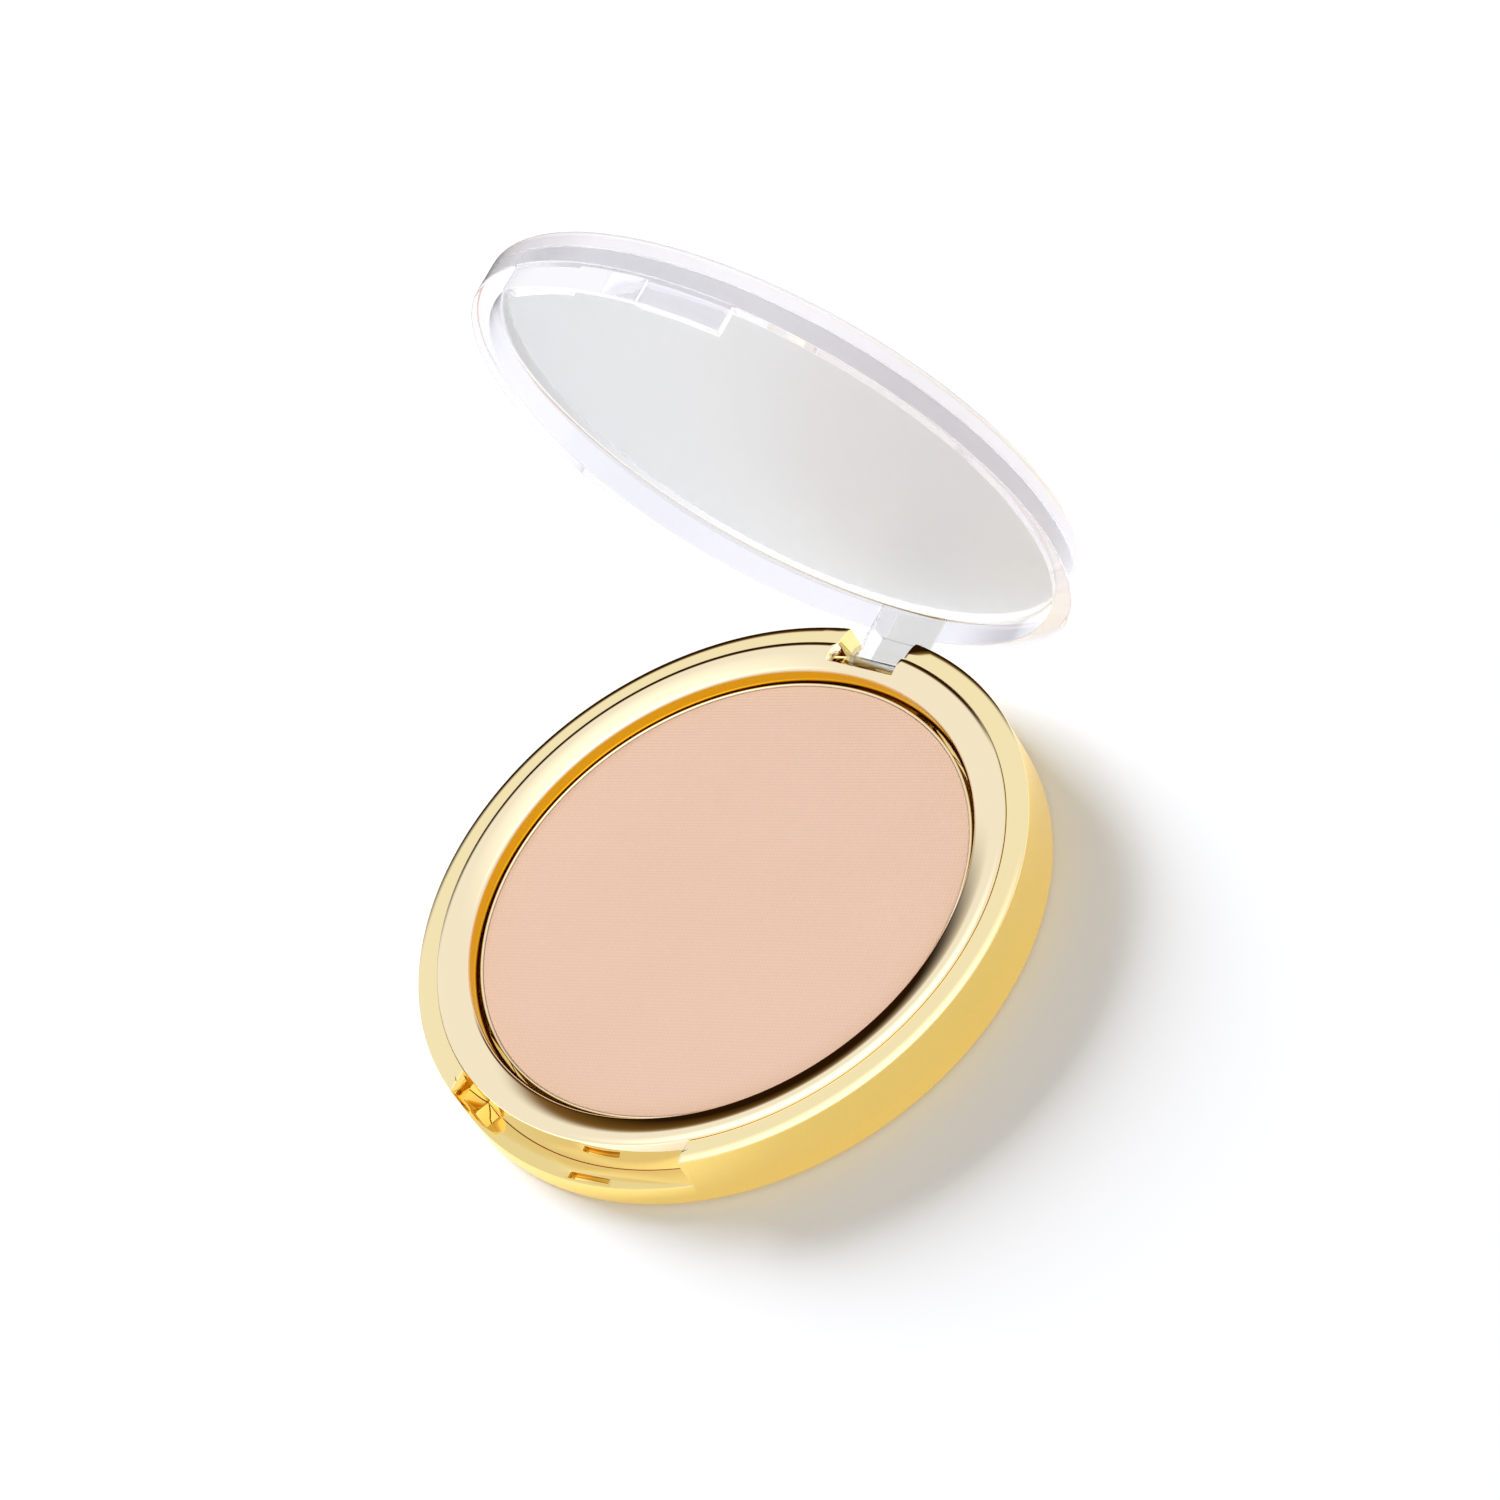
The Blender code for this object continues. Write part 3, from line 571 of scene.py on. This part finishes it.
def turned(profile, steps=STEPS):
    """A closed solid of revolution: (r, z) swept to (r cos t, r sin t, z) with t once round.

    The profile runs round the section in order. Where it starts and ends on the axis, the two
    end points become single poles; otherwise its last point joins its first.
    """
    points = supported(profile)
    open_ended = points[0][0] < 1e-9
    points = points[:-2] if open_ended else points
    points = points[np.insert(np.linalg.norm(np.diff(points, axis=0), axis=1) > 1e-8, 0, True)]
    t = np.linspace(0.0, math.tau, steps, endpoint=False)
    rings = points[1:-1] if open_ended else points
    r, z = rings[:, :1], rings[:, 1:]
    grid = np.stack([r * np.cos(t), r * np.sin(t), np.broadcast_to(z, (len(rings), steps))], axis=2)
    vertices = grid.reshape(-1, 3)
    index = np.arange(len(rings) * steps).reshape(len(rings), steps)
    upper, lower = (index, np.roll(index, -1, axis=0)) if not open_ended else (index[:-1], index[1:])
    quads = np.stack([upper, lower, np.roll(lower, -1, 1), np.roll(upper, -1, 1)], axis=2)
    faces = quads.reshape(-1, 4).tolist()
    if open_ended:
        top, bottom = len(vertices), len(vertices) + 1
        poles = np.array([[0.0, 0.0, points[0][1]], [0.0, 0.0, points[-1][1]]])
        vertices = np.concatenate([vertices, poles])
        first, last = index[0], index[-1]
        faces += np.stack([np.full(steps, top), first, np.roll(first, -1)], axis=1).tolist()
        faces += np.stack([np.full(steps, bottom), np.roll(last, -1), last], axis=1).tolist()
    return vertices, faces


def prism(outline, low, high, plane):
    """An outline (u, v) swept from low to high: along Z for plane "xy", along X for plane "yz"."""
    outline = np.asarray(outline, float)
    count = len(outline)
    ends = [np.insert(outline, 2, low, axis=1), np.insert(outline, 2, high, axis=1)]
    vertices = np.concatenate(ends)
    if plane == "yz":
        vertices = vertices[:, [2, 0, 1]]
    i = np.arange(count)
    j = np.roll(i, -1)
    sides = np.stack([i, j, j + count, i + count], axis=1).tolist()
    return vertices, [i[::-1].tolist(), (i + count).tolist()] + sides


def solid(name, surface):
    """A mesh object from (vertices, faces), with its doubles merged and its faces outward."""
    vertices, faces = surface
    mesh = bpy.data.meshes.new(name)
    mesh.from_pydata(np.asarray(vertices).tolist(), [], faces)
    form = bmesh.new()
    form.from_mesh(mesh)
    bmesh.ops.remove_doubles(form, verts=form.verts, dist=SAME_PLACE)
    bmesh.ops.recalc_face_normals(form, faces=form.faces)
    form.to_mesh(mesh)
    form.free()
    made = bpy.data.objects.new(name, mesh)
    bpy.context.scene.collection.objects.link(made)
    return made


print("helpers: oval, arc, supported, turned, prism, solid")

# %% [markdown]
# Cut-outs are made by Booleans, the solid equivalent of milling. A narrow bevel then breaks each
# sharp edge: on a mirror finish it is that thin round that draws the bright line along an edge.

# %% Cutting and finishing
EDGE_BREAK = 0.06 * MM
BASE_BREAK = 0.07 * MM  # less than the 0.08 mm between the notch's wall and the nearest step
LID_BREAK = 0.10 * MM
SHARP_ANGLE = math.radians(50.0)
SHADE_ANGLE = math.radians(32.0)
CRUMB = 0.004 * MM  # a Boolean leaves points closer than this, and a bevel would trip over them


def cut(target, steps):
    """Runs Booleans in order; each step is (operation, cutter). The cutters are removed after."""
    for operation, other in steps:
        change = target.modifiers.new(other.name, "BOOLEAN")
        change.operation = operation
        change.solver = "EXACT"
        change.object = other
    settle(target)
    for _, other in steps:
        bpy.data.objects.remove(other, do_unlink=True)
    return target


def settle(target):
    """Replaces the object's mesh by what its modifiers give, so that none is left live."""
    graph = bpy.context.evaluated_depsgraph_get()
    final = bpy.data.meshes.new_from_object(target.evaluated_get(graph))
    target.modifiers.clear()
    target.data = final
    final.name = target.name


def break_edges(target, width=EDGE_BREAK):
    """A small rounded bevel on every edge sharper than SHARP_ANGLE, then smooth shading."""
    form = bmesh.new()
    form.from_mesh(target.data)
    bmesh.ops.remove_doubles(form, verts=form.verts, dist=CRUMB)
    bmesh.ops.dissolve_degenerate(form, edges=form.edges, dist=CRUMB / 2)
    form.to_mesh(target.data)
    form.free()
    if width:
        bevel = target.modifiers.new("edge_break", "BEVEL")
        bevel.width = width
        bevel.segments = 2
        bevel.limit_method = "ANGLE"
        bevel.angle_limit = SHARP_ANGLE
        bevel.use_clamp_overlap = False
        settle(target)
    target.data.shade_smooth()
    target.data.set_sharp_from_angle(angle=SHADE_ANGLE)
    return target


def finish_piece(piece, looks, body, stands_for):
    """Gives the piece its materials and its body, and hides the measured node it stands for."""
    for look in looks:
        piece.data.materials.append(look)
    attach(piece, body)
    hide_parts(stands_for)
    print(piece.name, len(piece.data.vertices), "points", len(piece.data.polygons), "faces")


print("edge break", EDGE_BREAK / MM, "mm")

# %% [markdown]
# ## Base shell
# The shell is a shallow dish. Its seat, where the closed lid rests, is a flat polished ring. At
# the back a notch takes the lid's lug, and at the front a thumb recess leaves a lower ledge with
# a pocket at its left end and a small slot. Its corners are rounded where hands touch it.

# %% Base shell
FLOOR = 1.2 * MM
BORE_RADIUS = FRAME_RADIUS + 0.04 * MM  # a hairline joint, as two moulded pieces make
SEAT_EDGE = 0.42 * MM
SEAT_EDGE_WIDTH = 1.25 * MM
EDGE_MARGIN = 0.05 * MM
SIDE_MARGIN = 0.12 * MM
FOOT_EDGE = 0.7 * MM
LABEL_MARGIN = 0.5 * MM
LABEL_RECESS = 0.45 * MM
PAST = 2.0 * MM
NOTCH_FLOOR = 1.0 * MM
NOTCH_HALF = 4.75 * MM
NOTCH_END = PIN.y - 3.28 * MM
KNUCKLE_OUTER = NOTCH_HALF + 4.2 * MM
KNUCKLE_WALL = 1.3 * MM
RECESS_HALF = 16.5 * MM
LEDGE = 3.3 * MM
POCKET_WIDTH = 4.1 * MM
POCKET_DEPTH = 1.8 * MM
POCKET_WALL = 0.6 * MM
SLOT_TURN = math.radians(5.6)  # from the front towards +X
SLOT_INSET = 0.8 * MM
SLOT_HALF_WIDTH = 0.4 * MM
SLOT_HALF_LENGTH = 2.7 * MM
SLOT_DEPTH = 1.2 * MM
KNUCKLE_COVER = 1.5 * MM  # the frame's top stands at least this far above the knuckles
PRESS_FIT = 0.03 * MM
PIN_ROOM = 0.3 * MM

shell_section = [
    (0.0, FLOOR),
    (BORE_RADIUS, FLOOR),
    (BORE_RADIUS, SEAT),
    oval((BASE_RADIUS - SEAT_EDGE_WIDTH, SEAT - SEAT_EDGE), SEAT_EDGE_WIDTH, SEAT_EDGE, 90, 0, 13),
    arc((BASE_RADIUS - FOOT_EDGE, FOOT_EDGE), FOOT_EDGE, 0, -90, 7),
    (LABEL_RADIUS + LABEL_MARGIN, 0.0),
    (LABEL_RADIUS + LABEL_MARGIN, LABEL_RECESS),
    (0.0, LABEL_RECESS),
]


def block(low, high):
    """A box from its low corner to its high corner, as a prism."""
    (x0, y0, z0), (x1, y1, z1) = low, high
    return prism([(x0, y0), (x1, y0), (x1, y1), (x0, y1)], z0, z1, "xy")


def from_front(radius, start, end, count):
    """Points at one radius, the angle counted in degrees from the front (-Y) towards +X."""
    return arc((0.0, 0.0), radius, start - 90, end - 90, count)


def ring_part(inner, outer, start, end, low, high):
    """Part of a ring between two angles and two heights."""
    count = max(3, int(STEPS * abs(end - start) / 360))
    outline = np.concatenate([from_front(outer, start, end, count), from_front(inner, end, start, count)])
    return prism(outline, low, high, "xy")


knuckle_top = min(FRAME_TOP - KNUCKLE_COVER, PIN.z + PIN_RADIUS + KNUCKLE_WALL)
swing = SEAT - PIN.z
relief = np.concatenate([
    arc((PIN.y, PIN.z), swing, 90, 0, 33),
    [(PIN.y + swing + PAST, PIN.z), (PIN.y + swing + PAST, SEAT + PAST), (PIN.y, SEAT + PAST)],
])
pin_hole = arc((PIN.y, PIN.z), PIN_RADIUS + PRESS_FIT, 0, 352.5, 48)
pocket_start = -math.degrees(math.asin(RECESS_HALF / BORE_RADIUS))
pocket_end = -math.degrees(math.asin((RECESS_HALF - POCKET_WIDTH) / BORE_RADIUS))
slot_middle = BASE_RADIUS - SLOT_INSET
across = np.array([math.cos(SLOT_TURN), math.sin(SLOT_TURN)])
outward = np.array([math.sin(SLOT_TURN), -math.cos(SLOT_TURN)])
slot_corners = [
    outward * (slot_middle + v * SLOT_HALF_WIDTH) + across * u * SLOT_HALF_LENGTH
    for u, v in ((-1, -1), (1, -1), (1, 1), (-1, 1))
]
base = solid("base_shell_fine", turned(shell_section))
cut(base, [
    ("UNION", solid("left_knuckle", block(
        (-KNUCKLE_OUTER, PIN.y - PIN_RADIUS - KNUCKLE_WALL, FLOOR / 2),
        (-NOTCH_HALF + PAST, PIN.y + PIN_RADIUS, knuckle_top)))),
    ("UNION", solid("right_knuckle", block(
        (NOTCH_HALF - PAST, PIN.y - PIN_RADIUS - KNUCKLE_WALL, FLOOR / 2),
        (KNUCKLE_OUTER, PIN.y + PIN_RADIUS, knuckle_top)))),
    ("DIFFERENCE", solid("notch", block(
        (-NOTCH_HALF, NOTCH_END, NOTCH_FLOOR), (NOTCH_HALF, BASE_RADIUS + PAST, FRAME_TOP + PAST)))),
    ("DIFFERENCE", solid("relief", prism(relief, -BASE_RADIUS, BASE_RADIUS, "yz"))),
    ("DIFFERENCE", solid("pin_hole", prism(pin_hole, -PIN_HALF - PIN_ROOM, PIN_HALF + PIN_ROOM, "yz"))),
    ("DIFFERENCE", solid("recess", block(
        (-RECESS_HALF, -BASE_RADIUS - PAST, LEDGE), (RECESS_HALF, 0.0, SEAT + PAST)))),
    ("DIFFERENCE", solid("pocket", ring_part(
        BORE_RADIUS - PAST, BASE_RADIUS - POCKET_WALL, pocket_start, pocket_end,
        LEDGE - POCKET_DEPTH, LEDGE + PAST))),
    ("DIFFERENCE", solid("slot", prism(slot_corners, LEDGE - SLOT_DEPTH, LEDGE + PAST, "xy"))),
])
break_edges(base, BASE_BREAK)


def base_satin_and_painted_shade(mesh):
    """Outer wall and underside take the second material, the satin gold; the hollows of recess and notch
    take the third, a deeper gold that paints in shade and gold-on-gold reflection.
    """
    count = len(mesh.polygons)
    centre, normal = np.empty(count * 3, np.float32), np.empty(count * 3, np.float32)
    mesh.polygons.foreach_get("center", centre)
    mesh.polygons.foreach_get("normal", normal)
    centre, normal = centre.reshape(-1, 3), normal.reshape(-1, 3)
    radius = np.hypot(centre[:, 0], centre[:, 1])
    outside = (radius > BASE_RADIUS - SIDE_MARGIN) & (normal[:, 2] < 0.35)
    underside = normal[:, 2] < -0.3
    across = np.abs(centre[:, 0])
    in_recess = (across < RECESS_HALF + EDGE_MARGIN) & (centre[:, 1] < 0)
    in_notch = (across < NOTCH_HALF + EDGE_MARGIN) & (centre[:, 1] > 0)
    # Painted shade and reflection: the hollows take the deeper copy of the gold
    painted_shade_hollows = (in_recess | in_notch) & (centre[:, 2] < SEAT - 0.25 * MM)
    finish = np.where(outside | underside, 1, np.where(painted_shade_hollows, 2, 0))
    mesh.polygons.foreach_set("material_index", finish.astype(np.int32))


finish_piece(base, [seat_gold, satin_gold, recess_gold_painted_shade], "base", "base_shell")
base_satin_and_painted_shade(base.data)

# %% [markdown]
# ## Inner frame
# A second ring drops into the shell. Its flat top stands half a millimetre above the seat. Towards
# the well it dips in a shallow dish, then rolls over in a small lip into the wall round the pan.
# It is open underneath, a channel, because a moulding keeps its walls even.

# %% Inner frame
PAN_GAP = 0.55 * MM
WELL = PAN_RADIUS + PAN_GAP
ROLL_WIDTH = 2.9 * MM
ROLL_DROP = 1.0 * MM
FRAME_WALL = 1.1 * MM
FLANGE = 1.2 * MM
FRAME_EDGE = 0.45 * MM
FRAME_EDGE_WIDTH = 0.95 * MM
DRAFT = 0.20 * MM  # the well's wall leans by this much to each side, to leave its mould
DISH_DROP = 0.50 * MM
DISH_POWER = 1.3
LIP_WIDTH = 0.5 * MM
LIP_TURN = math.radians(75.0)  # where the lip's slope meets the slope at the end of the dish
WALL_START = 0.2 * MM  # below the pan's rim, where the well's wall begins to lean
KNUCKLE_ROOM = 0.3 * MM
FLANGE_ROOM = 0.15 * MM

lip_angle = np.linspace(0.0, LIP_TURN, 12)
lip_drop = (ROLL_DROP - DISH_DROP) / math.sin(LIP_TURN)
lip = np.stack([
    WELL + DRAFT + LIP_WIDTH * (1 - np.cos(lip_angle)),
    FRAME_TOP - ROLL_DROP + lip_drop * np.sin(lip_angle),
], axis=1)
share = np.linspace(1.0, 0.0, 14)[1:]
dish = np.stack([
    WELL + ROLL_WIDTH + (lip[-1, 0] - WELL - ROLL_WIDTH) * share,
    FRAME_TOP - DISH_DROP * share ** DISH_POWER,
], axis=1)
roll = np.concatenate([lip, dish])
frame_section = [
    roll,
    oval((FRAME_RADIUS - FRAME_EDGE_WIDTH, FRAME_TOP - FRAME_EDGE),
         FRAME_EDGE_WIDTH, FRAME_EDGE, 90, 0, 15),
    (FRAME_RADIUS, FRAME_FOOT),
    (FRAME_RADIUS - FRAME_WALL, FRAME_FOOT),
    (FRAME_RADIUS - FRAME_WALL, FRAME_TOP - FLANGE),
    (WELL + FRAME_WALL, FRAME_TOP - FLANGE),
    (WELL + FRAME_WALL, FRAME_FOOT),
    (WELL - DRAFT, FRAME_FOOT),
    (WELL - DRAFT, PAN_RIM - WALL_START),
]
ring = solid("inner_frame_fine", turned(frame_section))
cut(ring, [
    ("DIFFERENCE", solid("frame_notch", block(
        (-NOTCH_HALF, NOTCH_END, 0.0), (NOTCH_HALF, BASE_RADIUS + PAST, FRAME_TOP + PAST)))),
    ("DIFFERENCE", solid("knuckle_room", block(
        (-KNUCKLE_OUTER - KNUCKLE_ROOM, WELL + FRAME_WALL + KNUCKLE_ROOM, 0.0),
        (KNUCKLE_OUTER + KNUCKLE_ROOM, BASE_RADIUS, FRAME_TOP - FLANGE - FLANGE_ROOM)))),
])
break_edges(ring)


def frame_well_painted_reflection(mesh):
    """The well's leaning wall takes the second material, an amber gold painted in as reflection: it is the
    smallest radius below the lip.
    """
    count = len(mesh.polygons)
    centre = np.empty(count * 3, np.float32)
    mesh.polygons.foreach_get("center", centre)
    centre = centre.reshape(-1, 3)
    radius = np.hypot(centre[:, 0], centre[:, 1])
    # Painted reflection: the well's wall takes the amber copy of the gold
    wall = radius < WELL + 1.02 * DRAFT
    mesh.polygons.foreach_set("material_index", wall.astype(np.int32))


finish_piece(ring, [polished_gold, well_gold_painted_reflection], "base", "inner_frame")
frame_well_painted_reflection(ring.data)

# %% [markdown]
# ## Pan and powder
# The pan's rim is rolled slightly in the press, so it shows as a thin bright ring round the cake.
# The cake itself meets the rim in a small worn edge.

# %% Pan and powder
SHEET = 0.35 * MM
CORNER = 1.2 * MM
rim = arc((PAN_RADIUS - SHEET / 2, PAN_RIM - SHEET / 2), SHEET / 2, 180, 0, 9)
corner = (PAN_RADIUS - CORNER, PAN_BOTTOM + CORNER)
pan_section = [
    (0.0, PAN_BOTTOM + SHEET),
    arc(corner, CORNER - SHEET, -90, 0, 8),
    rim,
    arc(corner, CORNER, 0, -90, 8),
    (0.0, PAN_BOTTOM),
]
pan = break_edges(solid("powder_pan_fine", turned(pan_section)), 0.0)
finish_piece(pan, [pan_aluminium], "base", "powder_pan")

CAKE_RADIUS = PAN_RADIUS - SHEET - PRESS_FIT
WORN_EDGE = 0.15 * MM
cake_corner = CORNER - (PAN_RADIUS - CAKE_RADIUS)
cake_section = [
    (0.0, POWDER_TOP),
    arc((CAKE_RADIUS - WORN_EDGE, POWDER_TOP - WORN_EDGE), WORN_EDGE, 90, 0, 6),
    arc(corner, cake_corner, 0, -90, 6),
    (0.0, POWDER_BOTTOM),
]
cake = break_edges(solid("pressed_powder_fine", turned(cake_section)), 0.0)
finish_piece(cake, [powder], "base", "pressed_powder")

# %% [markdown]
# ## Hinge pin, pad and label
# The pin is a short length of steel wire with its ends taken off. The pad and the label are plain
# discs: the measured nodes already have the right shape, so they only take their finishes.

# %% Pin, pad and label
PIN_STEPS = 48
PIN_CHAMFER = 0.15 * MM
pin_profile = np.array([
    (0.0, PIN_HALF), (PIN_RADIUS - PIN_CHAMFER, PIN_HALF), (PIN_RADIUS, PIN_HALF - PIN_CHAMFER),
    (PIN_RADIUS, -PIN_HALF + PIN_CHAMFER), (PIN_RADIUS - PIN_CHAMFER, -PIN_HALF),
    (0.0, -PIN_HALF),
])
points, faces = turned(pin_profile, PIN_STEPS)
along_x = points[:, [2, 0, 1]] + np.array([PIN.x, PIN.y, PIN.z])
pin = break_edges(solid("hinge_pin_fine", (along_x, faces)), 0.0)
finish_piece(pin, [pin_steel], "base", "hinge_pin")
for name, look in (("pan_pad", pad_foam), ("base_label", label_paper)):
    mesh = frame["nodes"][name].data
    mesh.materials.clear()
    mesh.materials.append(look)

# %% [markdown]
# ## Lid
# The lid is one clear moulding: a shallow dish with a thick skirt, a lug that reaches down to the
# pin, and a tongue at the front with a thicker block at each end. It is made closed, because its
# shape is simplest there, and then turned about the pin to the angle at which it stands.

# %% Lid
LID_RADIUS = BASE_RADIUS - 0.1 * MM
LID_RIM = SEAT + 0.2 * MM
LID_TOP = LID_RIM + 4.15 * MM
CEILING = LID_TOP - 1.3 * MM
SKIRT = FRAME_RADIUS + 0.2 * MM
LUG_HALF = NOTCH_HALF - 0.3 * MM
LUG_INNER = 1.18 * MM
BARREL = 2.0 * MM
TONGUE_FOOT = LEDGE + 1.6 * MM
TONGUE_ANGLE = 24.3
TONGUE_BLOCK = 1.6 * MM  # the tongue is this thick at its ends, and TONGUE_WALL between them
TONGUE_WALL = 0.9 * MM
BLOCK_START = 8.0
BLOCK_END = -6.5
OUTER_INSET = 0.06 * MM
TOP_ROUND = 0.5 * MM
RIM_ROUND = 0.1 * MM
INNER_ROUND = 0.3 * MM
SUNK = 0.65 * MM  # the lug reaches this far up into the disc, so that the two join
LUG_PLAY = 0.06 * MM

lid_section = [
    (0.0, LID_TOP),
    arc((LID_RADIUS - TOP_ROUND, LID_TOP - TOP_ROUND), TOP_ROUND, 90, 0, 9),
    arc((LID_RADIUS - RIM_ROUND, LID_RIM + RIM_ROUND), RIM_ROUND, 0, -90, 4),
    arc((SKIRT + RIM_ROUND, LID_RIM + RIM_ROUND), RIM_ROUND, -90, -180, 4),
    arc((SKIRT - INNER_ROUND, CEILING - INNER_ROUND), INNER_ROUND, 0, 90, 6),
    (0.0, CEILING),
]
barrel_start = 180 - math.degrees(math.acos(LUG_INNER / BARREL))
lug_outline = np.concatenate([
    [(PIN.y - LUG_INNER, CEILING + SUNK)],
    arc((PIN.y, PIN.z), BARREL, barrel_start, 360, 33),
    [(PIN.y + BARREL, CEILING + SUNK)],
])
lug = solid("lug", prism(lug_outline, -LUG_HALF, LUG_HALF, "yz"))
lug_round = turned([(0.0, LID_TOP), (LID_RADIUS - OUTER_INSET, LID_TOP),
                    (LID_RADIUS - OUTER_INSET, 0.0), (0.0, 0.0)])
cut(lug, [("INTERSECT", solid("lug_round", lug_round))])
tongue_outline = np.concatenate([
    from_front(LID_RADIUS - OUTER_INSET, -TONGUE_ANGLE, TONGUE_ANGLE, 41),
    from_front(LID_RADIUS - TONGUE_BLOCK, TONGUE_ANGLE, BLOCK_START, 14),
    from_front(LID_RADIUS - TONGUE_WALL, BLOCK_START, BLOCK_END, 13),
    from_front(LID_RADIUS - TONGUE_BLOCK, BLOCK_END, -TONGUE_ANGLE, 15),
])
tongue = solid("tongue", prism(tongue_outline, TONGUE_FOOT, LID_RIM + 0.3 * MM, "xy"))
lug_bore = arc((PIN.y, PIN.z), PIN_RADIUS + LUG_PLAY, 0, 352.5, 48)
lid = solid("lid_fine", turned(lid_section))
cut(lid, [
    ("UNION", lug),
    ("UNION", tongue),
    ("DIFFERENCE", solid("lug_bore", prism(lug_bore, -PAST - LUG_HALF, PAST + LUG_HALF, "yz"))),
])
break_edges(lid, LID_BREAK)


def swing_open(target):
    """Stores radius and height of the closed lid as a UV map, then turns it about the pin."""
    mesh = target.data
    count = len(mesh.vertices)
    place = np.empty(count * 3, np.float32)
    mesh.vertices.foreach_get("co", place)
    place = place.reshape(-1, 3)
    radius = np.hypot(place[:, 0], place[:, 1]) / LID_RADIUS
    height = (place[:, 2] - LID_RIM) / (LID_TOP - LID_RIM)
    corners = np.empty(len(mesh.loops), np.int32)
    mesh.loops.foreach_get("vertex_index", corners)
    layer = mesh.uv_layers.new(name="from_axis")
    from_axis = np.stack([radius, height], axis=1)[corners].astype(np.float32)
    layer.data.foreach_set("uv", from_axis.ravel())
    turn = Matrix.Rotation(-OPEN_ANGLE, 4, "X")
    mesh.transform(Matrix.Translation(PIN) @ turn @ Matrix.Translation(-PIN))


swing_open(lid)
lid.visible_shadow = False  # clear plastic lets the lamps' light through, so it throws none
lid.visible_glossy = False  # and the rings mirror the room, not the faint lid above them
finish_piece(lid, [clear_plastic], "lid", "lid")
